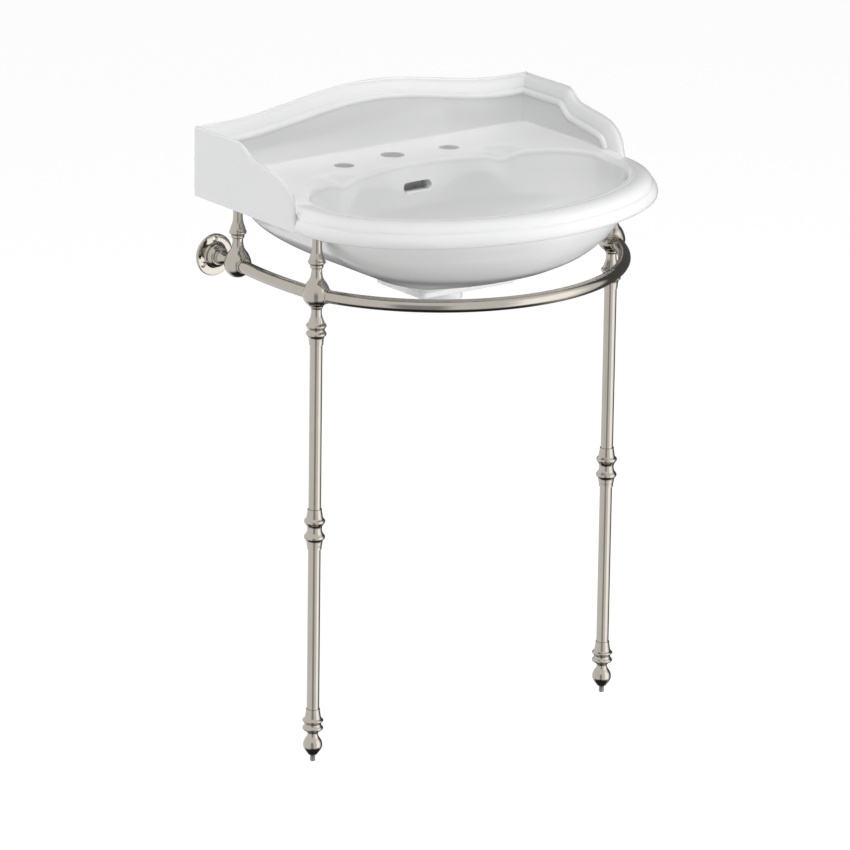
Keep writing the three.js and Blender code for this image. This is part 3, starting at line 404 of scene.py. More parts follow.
def prism(name, outline_points, place, low, high):
    """Solid between two copies of an outline; place turns (u, v, w) into a point."""
    count = len(outline_points)
    points = [place(u, v, w) for w in (low, high) for u, v in outline_points]
    faces = [tuple(range(count)), tuple(range(count, 2 * count))]
    faces += [(k, (k + 1) % count, count + (k + 1) % count, count + k) for k in range(count)]
    return face_outwards(mesh_of(name, points, faces))


def loft(name, sections):
    """Closed skin over sections with the same number of points."""
    count = len(sections[0])
    points = np.array(sections, float).reshape(-1, 3)
    faces = ring_faces(len(sections), count)
    faces += [tuple(range(count)), tuple(range(len(points) - count, len(points)))]
    return face_outwards(mesh_of(name, points, faces))


# Back: one section carried along the S-curved top
moulding = smooth_line([
    (0, -3), (0.8, -1), (2, 0), (3.6, -0.3), (4.3, -2.1), (5.2, -2.9), (7, -3.6), (10, -6), (13, -10),
    (15.5, -14), (16.8, -16.9), (17.3, -18.6), (18.6, -19.3), (20.6, -19.7), (22.6, -21), (24, -23.4),
    (23.9, -25.8), (22.9, -27.6), (22, -28.6)], 3)


def back_top(x):
    share = np.minimum(np.abs(x) / CREST_HALF, 1)
    return CORNER + CREST_RISE * (1 + np.cos(math.pi * share)) / 2


sections = []
for x in np.linspace(-half + 0.4, half - 0.4, 121):
    top = back_top(x)
    sections.append([(x, 0, UNDERSIDE + 0.2)] + [(x, -u, top + v) for u, v in moulding]
                    + [(x, -WALL_THICK, UNDERSIDE + 0.2)])
back_wall = loft("back_wall", sections)

# Sides: the same moulding along a line that drops in a hollow, slopes and turns
# down to the rim. Each point is a distance from the wall and a height, with the
# way in which the moulding hangs from it.
SIDE_END = 249.0
side_line = smooth_line([
    (0.4, CORNER, 0, -1), (52, CORNER, -0.05, -1), (96, CORNER, -0.12, -1), (108, 897.8, -0.16, -1),
    (113.5, 896.8, -0.18, -1), (118.5, 894.2, -0.2, -1), (126, 887.8, -0.22, -1), (133, 882.7, -0.24, -1),
    (139, 880.2, -0.25, -1), (149, 878.2, -0.24, -1), (166, 875.4, -0.18, -1), (186, 872.2, -0.12, -1),
    (203, 868.9, -0.16, -0.99), (213, 866, -0.3, -0.96), (222, 861.4, -0.5, -0.9), (230, 855.2, -0.72, -0.8),
    (236.6, 847.4, -0.92, -0.64), (241.4, 838, -1.06, -0.44), (244.8, 827, -1.14, -0.26),
    (247.2, 815, -1.18, -0.12), (248.6, 804, -1.2, -0.04), (SIDE_END, UNDERSIDE, -1.2, 0)], 3)

side_walls = []
for side in (-1, 1):
    rows = []
    for distance, height, lean_out, lean_down in side_line:
        rows.append([(side * (half - u), -(distance - lean_out * v), height - lean_down * v)
                     for u, v in moulding])
    rows = np.array(rows)
    across, along = rows.shape[1], rows.shape[0]
    points = rows.reshape(-1, 3).tolist()
    outer_corner, inner_corner = len(points), len(points) + 1
    points += [(side * half, -0.4, UNDERSIDE), (side * (half - WALL_THICK), -0.4, UNDERSIDE)]
    faces = [(r * across + k, r * across + k + 1, (r + 1) * across + k + 1, (r + 1) * across + k)
             for r in range(along - 1) for k in range(across - 1)]
    faces.append([r * across for r in range(along)] + [outer_corner])
    faces.append([r * across + across - 1 for r in range(along)] + [inner_corner])
    faces.append(list(range(across)) + [inner_corner, outer_corner])
    faces.append([(along - 1) * across + k for k in range(across)] + [inner_corner, outer_corner])
    side_walls.append(face_outwards(mesh_of("side_wall", points, faces)))


# Soft coves where the deck meets the upstand and in its two upright corners
def cove_section(radius, sink=0.25, steps=7, back=1.5):
    arc = [(radius - sink - radius * math.cos(a), radius - sink - radius * math.sin(a))
           for a in np.linspace(0, math.pi / 2, steps)]
    return [(-back, radius - sink)] + arc + [(radius - sink, -back), (-back, -back)]


COVE, CORNER_COVE = 5.5, 5.0
inner = half - WALL_THICK
coves = [loft("cove_back", [[(x, -WALL_THICK - u, DECK + v) for u, v in cove_section(COVE)]
                            for x in (-inner - 1, inner + 1)])]
for side in (-1, 1):
    coves.append(loft("cove_side", [
        [(side * (inner - u), y, DECK + v) for u, v in cove_section(radius)]
        for y, radius in ((-WALL_THICK + 1, COVE), (-182, COVE), (-193, 4.2), (-201, 2.8), (-208, 1.4))]))
    coves.append(loft("cove_corner", [
        [(side * (inner - u), -WALL_THICK - v, z) for u, v in cove_section(CORNER_COVE)]
        for z in (DECK - 1, CORNER - 24)]))


# Pocket under the tap deck, open below, with rounded upright corners
def rounded_box(x0, x1, y0, y1, radius, steps=6):
    line = []
    for cx, cy, start in ((x1 - radius, y1 - radius, 0), (x0 + radius, y1 - radius, 90),
                          (x0 + radius, y0 + radius, 180), (x1 - radius, y0 + radius, 270)):
        for a in np.radians(np.linspace(start, start + 90, steps)):
            line.append((cx + radius * math.cos(a), cy + radius * math.sin(a)))
    return line


POCKET_HALF, POCKET_FRONT, POCKET_TOP, POCKET_ROUND = 150.0, 104.0, 814.0, 9.0
BELOW_BASIN = 640.0
pocket_line = rounded_box(-POCKET_HALF, POCKET_HALF, -POCKET_FRONT, -WALL_THICK - 0.3, POCKET_ROUND)
pocket = prism("pocket", pocket_line, lambda u, v, w: (u, v, w), BELOW_BASIN, POCKET_TOP)

# Overflow: a slot under the crest in the bowl's back wall and a duct to the waste
DUCT, DUCT_BACK, DUCT_BEND, DUCT_LEVEL = 12.0, 113.0, 160.0, 690.0
DUCT_HALF, DUCT_WALL = 24.0, 9.0


def duct_line(top, grow):
    """Side view of the duct, or with growth of its housing, up to a height."""
    back = DUCT_BACK - grow
    front = back + DUCT + 2 * grow
    outlet_top = DUCT_LEVEL + grow
    outlet_bottom = outlet_top - DUCT - 2 * grow
    return [(-back, top), (-front, top), (-front, 718), (-DUCT_BEND, outlet_top), (-WASTE, outlet_top),
            (-WASTE, outlet_bottom), (DUCT - DUCT_BEND, outlet_bottom), (-back, 706)]


housing_half = DUCT_HALF + DUCT_WALL
housing = prism("housing", duct_line(752, DUCT_WALL), lambda u, v, w: (w, u, v), -housing_half, housing_half)
duct = prism("duct", duct_line(804, 0), lambda u, v, w: (w, u, v), -DUCT_HALF, DUCT_HALF)


def stadium(wide, tall, steps=12):
    radius = tall / 2
    line = [(wide / 2 - radius + radius * math.cos(a), radius * math.sin(a))
            for a in np.linspace(-math.pi / 2, math.pi / 2, steps)]
    return line + [(-u, -v) for u, v in line]


OVERFLOW_WIDE, OVERFLOW_TALL, OVERFLOW_HEIGHT = 50, 14, 795
slot_cut = loft("slot_cut", [
    [(u, -y, OVERFLOW_HEIGHT + v) for u, v in stadium(OVERFLOW_WIDE + 2 * g, OVERFLOW_TALL + 2 * g)]
    for y, g in ((119, 0), (133, 0), (135.6, 0.2), (137.4, 0.9), (138.8, 2), (139.9, 3.6), (141, 6.2))])

# Tap holes with softened top edges: place across, distance from the wall, radius
TAP_HOLES = ((-95, 84, 14), (0, 73, 17), (95, 84, 14))
tap_cuts = []
for x, distance, radius in TAP_HOLES:
    section = [(radius, 788), (radius, 827), (radius + 0.2, 827.9), (radius + 0.7, 828.6),
               (radius + 1.5, 829), (radius + 4, 829.6)]
    tap_cuts.append(loft("tap_cut", [
        [(x + r * math.cos(a), -distance + r * math.sin(a), z)
         for a in np.linspace(0, 2 * math.pi, 48, endpoint=False)] for r, z in section]))

steps = [(pocket, "DIFFERENCE"), (housing, "UNION"), (duct, "DIFFERENCE"), (slot_cut, "DIFFERENCE")]
steps += [(cut, "DIFFERENCE") for cut in tap_cuts]
steps += [(back_wall, "UNION")] + [(wall, "UNION") for wall in side_walls]
steps += [(cove, "UNION") for cove in coves]


def keep_result(thing, tools=()):
    """Replaces a piece's mesh with its evaluated one and removes what made it."""
    seen = thing.evaluated_get(bpy.context.evaluated_depsgraph_get())
    made = bpy.data.meshes.new_from_object(seen)
    made.name = thing.name
    thing.modifiers.clear()
    thing.data = made
    for tool in tools:
        bpy.data.objects.remove(tool)


def work(thing, tools):
    """Cuts or joins tools on a piece, then keeps the plain mesh."""
    for tool, operation in tools:
        step = thing.modifiers.new(tool.name, "BOOLEAN")
        step.operation, step.object, step.solver = operation, tool, "MANIFOLD"
    keep_result(thing, [tool for tool, _ in tools])


def soften(thing, degrees=32):
    """Smooth faces, with edges kept sharp above an angle."""
    for face in thing.data.polygons:
        face.use_smooth = True
    thing.data.set_sharp_from_angle(angle=math.radians(degrees))


work(basin, steps)
soften(basin, 34)
even = basin.modifiers.new("even", "WEIGHTED_NORMAL")
even.keep_sharp = True
even.weight = 60
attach(basin, "basin_and_stand")
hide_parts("basin")


# Vitreous china: a grey-white body under about half a millimetre of clear-white
# glaze. The eye sees an even, slightly cool white with sharp highlights that
# waver a little, because the glaze flows while it melts: waves of about 60 mm and
# an orange peel of 5 mm.
def linear(hex_colour):
    """Linear colour of an sRGB hex value."""
    parts = [int(hex_colour[k:k + 2], 16) / 255 for k in (1, 3, 5)]
    return [p / 12.92 if p <= 0.04045 else ((p + 0.055) / 1.055) ** 2.4 for p in parts] + [1.0]


def add_node(tree, kind, settings=(), values=(), links=()):
    """Adds one node: its settings, the values of its sockets and the links to them."""
    node = tree.nodes.new(kind)
    for name, value in dict(settings).items():
        setattr(node, name, value)
    for socket, value in dict(values).items():
        node.inputs[socket].default_value = value
    for socket, source in dict(links).items():
        tree.links.new(source, node.inputs[socket])
    return node


def new_material(name):
    material = bpy.data.materials.new(name)
    material.use_nodes = True
    material.node_tree.nodes.clear()
    return material, material.node_tree


def finish_material(tree, shader):
    add_node(tree, "ShaderNodeOutputMaterial", links={"Surface": shader.outputs["BSDF"]})


china, tree = new_material("vitreous_china")
place = add_node(tree, "ShaderNodeTexCoord").outputs["Object"]
flow = add_node(tree, "ShaderNodeTexNoise", values={"Scale": 16.0, "Detail": 2.0, "Roughness": 0.45},
                links={"Vector": place})
orange_peel = add_node(tree, "ShaderNodeTexNoise", values={"Scale": 190.0, "Detail": 1.0},
                       links={"Vector": place})
wave = add_node(tree, "ShaderNodeBump", values={"Strength": 0.10, "Distance": 0.004},
                links={"Height": flow.outputs["Fac"]})
peel = add_node(tree, "ShaderNodeBump", values={"Strength": 0.04, "Distance": 0.0004},
                links={"Height": orange_peel.outputs["Fac"], "Normal": wave.outputs["Normal"]})
tint = add_node(tree, "ShaderNodeTexNoise", values={"Scale": 5.0, "Detail": 3.0}, links={"Vector": place})
tone = add_node(tree, "ShaderNodeMix", settings={"data_type": "RGBA"},
                values={6: linear("#E5E6E7"), 7: linear("#EAEAE9")},
                links={"Factor": tint.outputs["Fac"]})
polish = add_node(tree, "ShaderNodeMapRange", values={"To Min": 0.05, "To Max": 0.11},
                  links={"Value": flow.outputs["Fac"]})
glaze = add_node(tree, "ShaderNodeBsdfPrincipled",
                 values={"IOR": 1.5},
                 links={"Base Color": tone.outputs[2], "Roughness": polish.outputs["Result"],
                        "Normal": peel.outputs["Normal"]})
finish_material(tree, glaze)
basin.data.materials.clear()
basin.data.materials.append(china)


# Wall flanges and arms. Cast brass roses that carry the back of the stand: each
# is turned, drilled and countersunk for three screws, and a thin ring and cone
# lead to the arm that runs into the rear ball. Polished and nickel plated.
LEG_X, FRONT_LEG, REAR_BALL = 266.0, 256.5, 61.4
BALL_Z = UNDERSIDE - 92.8
HANDS = ("left", "right")
SIDES = {"left": -1, "right": 1}


def new_tree(name, inputs, geometry_in=True):
    """Empty Geometry Nodes tree with named inputs; gives it and their identifiers."""
    tree = bpy.data.node_groups.new(name, "GeometryNodeTree")
    names = {}
    tree.interface.new_socket("Geometry", in_out="OUTPUT", socket_type="NodeSocketGeometry")
    if geometry_in:
        tree.interface.new_socket("Geometry", in_out="INPUT", socket_type="NodeSocketGeometry")
    for label, kind in inputs.items():
        socket = tree.interface.new_socket(label, in_out="INPUT", socket_type="NodeSocket" + kind)
        names[label] = socket.identifier
    given = tree.nodes.new("NodeGroupInput")
    return tree, given.outputs, names


def close_tree(tree, geometry, material):
    solid = add_node(tree, "GeometryNodeRealizeInstances", links={"Geometry": geometry})
    painted = add_node(tree, "GeometryNodeSetMaterial",
                       links={"Geometry": solid.outputs[0], "Material": material})
    result = tree.nodes.new("NodeGroupOutput")
    tree.links.new(painted.outputs[0], result.inputs["Geometry"])


def calculate(tree, operation, first, second=None):
    """Math node; each term is a socket or a number."""
    node = add_node(tree, "ShaderNodeMath", settings={"operation": operation})
    for k, term in enumerate((first, second)):
        if term is None:
            continue
        if isinstance(term, (int, float)):
            node.inputs[k].default_value = term
        else:
            tree.links.new(term, node.inputs[k])
    return node.outputs[0]


def sheet_of(tree, sides, rows):
    """Grid for a round skin: its mesh, and the column and row of each point."""
    sheet = add_node(tree, "GeometryNodeMeshGrid",
                     links={"Vertices X": calculate(tree, "ADD", sides, 1), "Vertices Y": rows})
    index = add_node(tree, "GeometryNodeInputIndex").outputs[0]
    column = calculate(tree, "FLOOR", calculate(tree, "DIVIDE", index, rows))
    row = calculate(tree, "SUBTRACT", index, calculate(tree, "MULTIPLY", column, rows))
    return sheet.outputs["Mesh"], column, row


def rolled(tree, sheet, radius, angle, height):
    """Sets the points of a grid round the upright axis and welds its seam."""
    place = add_node(tree, "ShaderNodeCombineXYZ", links={
        0: calculate(tree, "MULTIPLY", radius, calculate(tree, "COSINE", angle)),
        1: calculate(tree, "MULTIPLY", radius, calculate(tree, "SINE", angle)),
        2: height})
    moved = add_node(tree, "GeometryNodeSetPosition",
                     links={"Geometry": sheet, "Position": place.outputs[0]})
    welded = add_node(tree, "GeometryNodeMergeByDistance", values={"Distance": 0.000002},
                      links={"Geometry": moved.outputs[0]})
    return welded.outputs[0]


# A section turned round an axis, and a copy of the turned piece at each place
turning, given, turning_names = new_tree(
    "turned_on_places", {"Sides": "Int", "Material": "Material"})
flag = add_node(turning, "GeometryNodeInputNamedAttribute", settings={"data_type": "BOOLEAN"},
                values={"Name": "is_place"})
parted = add_node(turning, "GeometryNodeSeparateGeometry", settings={"domain": "POINT"},
                  links={"Geometry": given["Geometry"], "Selection": flag.outputs["Attribute"]})
section = parted.outputs["Inverted"]
size = add_node(turning, "GeometryNodeAttributeDomainSize", settings={"component": "MESH"},
                links={"Geometry": section})
section_count = size.outputs["Point Count"]
sheet, column, row = sheet_of(turning, given["Sides"], section_count)
position = add_node(turning, "GeometryNodeInputPosition").outputs[0]
sampled = add_node(turning, "GeometryNodeSampleIndex", settings={"data_type": "FLOAT_VECTOR"},
                   links={"Geometry": section, "Value": position, "Index": row})
apart = add_node(turning, "ShaderNodeSeparateXYZ", links={0: sampled.outputs[0]}).outputs
angle = calculate(turning, "MULTIPLY", calculate(turning, "DIVIDE", column, given["Sides"]), 2 * math.pi)
skin = rolled(turning, sheet, apart[0], angle, apart[2])
facing = add_node(turning, "GeometryNodeInputNamedAttribute", settings={"data_type": "FLOAT_VECTOR"},
                  values={"Name": "facing"})
aim = add_node(turning, "FunctionNodeEulerToRotation", links={0: facing.outputs["Attribute"]})
copies = add_node(turning, "GeometryNodeInstanceOnPoints",
                  links={"Points": parted.outputs["Selection"], "Instance": skin,
                         "Rotation": aim.outputs[0]})
close_tree(turning, copies.outputs[0], given["Material"])


def from_tree(thing, tree, values):
    """Runs a tree on a piece and keeps the plain mesh that it makes."""
    made = thing.modifiers.new("made", "NODES")
    made.node_group = tree
    for identifier, value in values.items():
        made[identifier] = value
    keep_result(thing)
    return face_outwards(thing, weld=0.000001)


def turned(name, section, places, material, sides=64):
    """Piece turned from (radius, height) points and set at each (x, y, z, facing)."""
    section = np.array(section, float)
    points = [(r * MM, 0, z * MM) for r, z in section]
    points += [(x * MM, (y + WALL_PLANE) * MM, z * MM) for x, y, z, _ in places]
    count = len(section)
    mesh = bpy.data.meshes.new(name)
    mesh.from_pydata(points, [(k, k + 1) for k in range(count - 1)], [])
    is_place = mesh.attributes.new("is_place", "BOOLEAN", "POINT")
    is_place.data.foreach_set("value", [k >= count for k in range(len(points))])
    facing_of = mesh.attributes.new("facing", "FLOAT_VECTOR", "POINT")
    turns = [(0, 0, 0)] * count + [face for _, _, _, face in places]
    facing_of.data.foreach_set("vector", [value for face in turns for value in face])
    thing = new_object(name, mesh)
    return from_tree(thing, turning, {turning_names["Sides"]: sides, turning_names["Material"]: material})


# Nickel plate on polished brass: a warm grey mirror. Buffing leaves faint hazy
# spots, about 16 mm wide, and marks of 1 mm, coarser than real so that they show.
nickel, tree = new_material("polished_nickel_plate")
place = add_node(tree, "ShaderNodeTexCoord").outputs["Object"]
haze = add_node(tree, "ShaderNodeTexNoise", values={"Scale": 60.0, "Detail": 4.0, "Roughness": 0.6},
                links={"Vector": place})
plate_tone = add_node(tree, "ShaderNodeMix", settings={"data_type": "RGBA"},
                      values={6: linear("#B0AAA1"), 7: linear("#BAB4AB")},
                      links={"Factor": haze.outputs["Fac"]})
plate_rough = add_node(tree, "ShaderNodeMapRange", values={"To Min": 0.04, "To Max": 0.08},
                       links={"Value": haze.outputs["Fac"]})
buffing = add_node(tree, "ShaderNodeTexNoise", values={"Scale": 900.0, "Detail": 1.0},
                   links={"Vector": place})
plate_bump = add_node(tree, "ShaderNodeBump", values={"Strength": 0.03, "Distance": 0.0001},
                      links={"Height": buffing.outputs["Fac"]})
plate = add_node(tree, "ShaderNodeBsdfPrincipled", values={"Metallic": 1.0},
                 links={"Base Color": plate_tone.outputs[2], "Roughness": plate_rough.outputs["Result"],
                        "Normal": plate_bump.outputs["Normal"]})
finish_material(tree, plate)

TO_FRONT = (math.pi / 2, 0, 0)
FLANGE_FACE, BOSS_END = 4.5, 17.2
SCREW_CIRCLE, SCREW_COUNT = 23.5, 3
wall_places = [(SIDES[hand] * LEG_X, 0, BALL_Z, TO_FRONT) for hand in HANDS]
flange_edge = [(30, 0), (30.7, 0.2), (31, 0.8), (31, 2.6), (30.8, 3.5), (30.2, 4.2),
               (29.2, FLANGE_FACE)]
flange_dome = smooth_line([
    (20.6, FLANGE_FACE), (19.4, 4.7), (18.4, 5.4), (17.7, 6.6), (17.5, 9), (17, 11.6), (15.9, 14),
    (14.4, 15.8), (12.4, 17), (11.6, BOSS_END)], 3)
flange_section = [(0, 0)] + flange_edge + [(24, FLANGE_FACE)] + flange_dome.tolist() + [(0, BOSS_END)]
flanges = turned("wall_flanges", flange_section, wall_places, nickel, 96)
screw_places = []
for x, y, z, _ in wall_places:
    for k in range(SCREW_COUNT):
        a = math.pi / 2 + 2 * math.pi * k / SCREW_COUNT
        screw_places.append((x + SCREW_CIRCLE * math.cos(a), y, z + SCREW_CIRCLE * math.sin(a), TO_FRONT))
screw_hole = [(0, -3), (2.6, -3), (2.6, 2.2), (2.8, 2.5), (4.1, 4.1), (4.9, 4.8), (0, 4.8)]
screw_holes = turned("screw_holes", screw_hole, screw_places, nickel, 32)
work(flanges, [(screw_holes, "DIFFERENCE")])
soften(flanges)
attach(flanges, "basin_and_stand")
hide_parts("wall_flange_left", "wall_flange_right")

ARM_RADIUS, ARM_END = 4.8, REAR_BALL - 12
arm_outside = smooth_line([
    (10.4, BOSS_END), (11, 17.6), (11.2, 18.6), (11.1, 19.8), (10.4, 20.5), (9.5, 20.8), (9.3, 21.3),
    (9.8, 22.2), (9.9, 23.4), (9.3, 25.2), (7.9, 27.8), (6.2, 30.2), (5.2, 32), (ARM_RADIUS, 34)], 3)
arms = turned("wall_arms", [(0, BOSS_END)] + arm_outside.tolist() + [(ARM_RADIUS, ARM_END), (0, ARM_END)],
              wall_places, nickel, 48)
soften(arms)
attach(arms, "basin_and_stand")
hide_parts("wall_arm_left", "wall_arm_right")

# Towel rail. Three brass tubes, 18.8 mm across: a deep bow round the front of the
# bowl and a nearly straight one on each side. Bent cold round a former, polished
# and plated, and pushed into the balls.
RAIL_RADIUS, TUBE_WALL = 9.4, 1.5
# Reach of the front rail out from the wall, bow of the side rails, and how far
# from the middle of a ball a rail ends
RAIL_REACH, SIDE_BOW, RAIL_GAP = 452.0, 7.0, 8.5

bending, given, bending_names = new_tree(
    "bent_tube", {"Start": "Vector", "Middle": "Vector", "End": "Vector", "Radius": "Float",
                  "Steps": "Int", "Sides": "Int", "Material": "Material"}, geometry_in=False)
bow = add_node(bending, "GeometryNodeCurveArc", settings={"mode": "POINTS"},
               links={"Resolution": given["Steps"], "Start": given["Start"], "Middle": given["Middle"],
                      "End": given["End"]})
round_profile = add_node(bending, "GeometryNodeCurvePrimitiveCircle",
                         links={"Resolution": given["Sides"], "Radius": given["Radius"]})
rod = add_node(bending, "GeometryNodeCurveToMesh", values={"Fill Caps": True},
               links={"Curve": bow.outputs["Curve"], "Profile Curve": round_profile.outputs["Curve"]})
close_tree(bending, rod.outputs[0], given["Material"])


def bow_through(start, end, depth):
    """Arc through two ends, bowed out by a depth: its middle, radius, start and sweep."""
    start, end = np.array(start, float), np.array(end, float)
    chord = end - start
    half_chord = np.linalg.norm(chord) / 2
    radius = (half_chord ** 2 + depth ** 2) / (2 * depth)
    inwards = np.array([-chord[1], chord[0]]) / np.linalg.norm(chord)
    centre = (start + end) / 2 + inwards * (radius - depth)
    first = math.atan2(*(start - centre)[::-1])
    spread = 2 * math.asin(min(1, half_chord / radius))
    return centre, radius, first, 2 * math.pi - spread if radius < depth else spread


bows = {
    "towel_rail_front": bow_through((-LEG_X, -FRONT_LEG), (LEG_X, -FRONT_LEG), RAIL_REACH - FRONT_LEG),
    "towel_rail_left": bow_through((-LEG_X, -REAR_BALL), (-LEG_X, -FRONT_LEG), SIDE_BOW),
    "towel_rail_right": bow_through((LEG_X, -FRONT_LEG), (LEG_X, -REAR_BALL), SIDE_BOW),
}
rail_steps = {"towel_rail_front": 160, "towel_rail_left": 24, "towel_rail_right": 24}


def tube_along(name, bow_of, radius, gap, steps, sides=48):
    """Solid rod along an arc; the ends stop short of the arc's ends by the gap."""
    centre, arc_radius, first, sweep_angle = bow_of
    ends = [first + gap / arc_radius, first + sweep_angle / 2, first + sweep_angle - gap / arc_radius]
    points = [((centre[0] + arc_radius * math.cos(a)) * MM,
               (centre[1] + arc_radius * math.sin(a) + WALL_PLANE) * MM, BALL_Z * MM) for a in ends]
    thing = new_object(name, bpy.data.meshes.new(name))
    keys = bending_names
    return from_tree(thing, bending, {
        keys["Start"]: points[0], keys["Middle"]: points[1], keys["End"]: points[2],
        keys["Radius"]: radius * MM, keys["Steps"]: steps, keys["Sides"]: sides,
        keys["Material"]: nickel})


for name, bow_of in bows.items():
    rail = tube_along(name + "_tube", bow_of, RAIL_RADIUS, RAIL_GAP, rail_steps[name])
    bore = tube_along(name + "_bore", bow_of, RAIL_RADIUS - TUBE_WALL, RAIL_GAP - 2, rail_steps[name], 24)
    work(rail, [(bore, "DIFFERENCE")])
    soften(rail, 50)
    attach(rail, "basin_and_stand")
    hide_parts(name)

# Balls. Turned brass balls with a tapering shoulder, bored across for the rails:
# each rail enters through a short turned lip. The front pair stand on the legs,
# the rear pair end below in a plain round.
BALL_RADIUS = 20.0
# How far below and above its middle the neck and the post meet a ball
NECK_DROP, POST_FOOT = 17.2, 39.0
ball_low_front = [(9.6, -NECK_DROP), (10.2, -16.6), (12.6, -14.2), (16.2, -11.3), (18.8, -6.6), (19.9, -2)]
ball_low_rear = [(0, -BALL_RADIUS), (3.6, -19.7), (7.6, -18.5), (11.6, -16.2), (15, -13), (17.8, -9),
                 (19.4, -4.4)]
ball_shoulder = [(BALL_RADIUS, 0), (19.4, 4.6), (18, 9), (14.8, 15.8), (12.1, 19.4), (10.1, 22.5),
                 (8.5, 27), (7.8, 31.5), (7.5, 35), (7.8, POST_FOOT)]
STUD_HOLE, STUD_DEPTH, NECK_STUD_DEPTH = 3.3, 11.3, 5.8
LIP_RADIUS, LIP_END, PLAY, END_PLAY = 10.8, 20.3, 0.15, 0.3
lip_section = [(0, 0), (LIP_RADIUS, 0), (LIP_RADIUS, 19.2), (10.7, 19.8), (10.3, 20.2), (9.9, LIP_END),
               (0, LIP_END)]
bore_radius, bore_end = ARM_RADIUS + PLAY, ARM_END + END_PLAY
arm_bore = [(0, 10), (bore_radius, 10), (bore_radius, bore_end), (0, bore_end)]
hole_top, hole_bottom = NECK_STUD_DEPTH - NECK_DROP, POST_FOOT - STUD_DEPTH
top_hole = [(STUD_HOLE, POST_FOOT), (STUD_HOLE, hole_bottom), (0, hole_bottom)]
for where, distance in (("front", FRONT_LEG), ("rear", REAR_BALL)):
    front = where == "front"
    outside = smooth_line((ball_low_front if front else ball_low_rear) + ball_shoulder, 5)
    low_hole = [(0, hole_top), (STUD_HOLE, hole_top), (STUD_HOLE, -NECK_DROP)] if front else []
    balls = turned(where + "_balls", low_hole + outside.tolist() + top_hole,
                   [(SIDES[hand] * LEG_X, -distance, BALL_Z, (0, 0, 0)) for hand in HANDS], nickel, 72)
    lips, cuts = [], []
    for hand in HANDS:
        x = SIDES[hand] * LEG_X
        for rail in ["towel_rail_" + hand] + (["towel_rail_front"] if front else []):
            centre, arc_radius, first, sweep_angle = bows[rail]
            start = centre + arc_radius * np.array([math.cos(first), math.sin(first)])
            at_start = np.linalg.norm(start - (x, -distance)) < BALL_RADIUS
            way = first + math.pi / 2 if at_start else first + sweep_angle - math.pi / 2
            way += (1 if at_start else -1) * BALL_RADIUS / (2 * arc_radius)
            lips.append((x, -distance, BALL_Z, (0, math.pi / 2, way)))
            cuts.append((tube_along("bore", bows[rail], RAIL_RADIUS + PLAY, RAIL_GAP - END_PLAY,
                                    rail_steps[rail]), "DIFFERENCE"))
    lip_rings = [(turned("lips", lip_section, [lip], nickel), "UNION") for lip in lips]
    if not front:
        cuts.append((turned("arm_bore", arm_bore, wall_places, nickel, 48), "DIFFERENCE"))
    work(balls, lip_rings + cuts)
    soften(balls)
    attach(balls, "basin_and_stand")
    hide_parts(where + "_ball_left", where + "_ball_right")

# Posts. Turned brass balusters between the balls and the basin, screwed to the
# balls by a hidden stud, with a black rubber pad on top so that metal never
# bears on the glaze.
leg_places = {
    "front": [(SIDES[hand] * LEG_X, -FRONT_LEG, 0, (0, 0, 0)) for hand in HANDS],
    "rear": [(SIDES[hand] * LEG_X, -REAR_BALL, 0, (0, 0, 0)) for hand in HANDS]}
PAD_THICK = 2.0
POST_TOP = UNDERSIDE - PAD_THICK
post_outside = smooth_line([
    (8.9, POST_FOOT), (9.5, 40.2), (9.7, 41.8), (9.4, 43.2), (9.9, 44.2), (11.4, 45.2), (12.5, 46.6),
    (12.6, 48.2), (12.1, 49.7), (11.3, 50.6), (11.2, 52), (10.5, 54.4), (9.3, 58), (8, 62), (7.3, 66.5),
    (7, 72), (7, 77.6), (7.5, 83), (8.5, 87.4), (9.3, 89.8), (9.55, 90.6)], 3)
post_outside[:, 1] += BALL_Z
foot_height = BALL_Z + POST_FOOT
post_hole = [(0, foot_height + STUD_DEPTH), (STUD_HOLE, foot_height + STUD_DEPTH), (STUD_HOLE, foot_height)]
posts = turned("posts", post_hole + post_outside.tolist() + [(9.1, POST_TOP), (0, POST_TOP)],
               leg_places["front"] + leg_places["rear"], nickel)
soften(posts)
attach(posts, "basin_and_stand")
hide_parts("post_front_left", "post_front_right", "post_rear_left", "post_rear_right")

# Nitrile rubber, cut from sheet: matt black with a dusty bloom of 2.5 mm spots
rubber, tree = new_material("black_rubber")
place = add_node(tree, "ShaderNodeTexCoord").outputs["Object"]
bloom = add_node(tree, "ShaderNodeTexNoise", values={"Scale": 400.0, "Detail": 3.0},
                 links={"Vector": place})
rubber_tone = add_node(tree, "ShaderNodeMix", settings={"data_type": "RGBA"},
                       values={6: linear("#1E1E1E"), 7: linear("#343433")},
                       links={"Factor": bloom.outputs["Fac"]})
rubber_bump = add_node(tree, "ShaderNodeBump", values={"Strength": 0.2, "Distance": 0.0002},
                       links={"Height": bloom.outputs["Fac"]})
sheet_rubber = add_node(tree, "ShaderNodeBsdfPrincipled", values={"Roughness": 0.72},
                        links={"Base Color": rubber_tone.outputs[2], "Normal": rubber_bump.outputs["Normal"]})
finish_material(tree, sheet_rubber)
PAD_RADIUS, PAD_ROUND = 9.6, 0.4
pads = turned("post_pads", [
    (0, POST_TOP), (PAD_RADIUS - PAD_ROUND, POST_TOP), (PAD_RADIUS, POST_TOP + PAD_ROUND),
    (PAD_RADIUS, UNDERSIDE - PAD_ROUND), (PAD_RADIUS - PAD_ROUND, UNDERSIDE), (0, UNDERSIDE)],
    leg_places["front"] + leg_places["rear"], rubber, 48)
soften(pads)
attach(pads, "basin_and_stand")
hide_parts("post_pad_front_left", "post_pad_front_right", "post_pad_rear_left", "post_pad_rear_right")

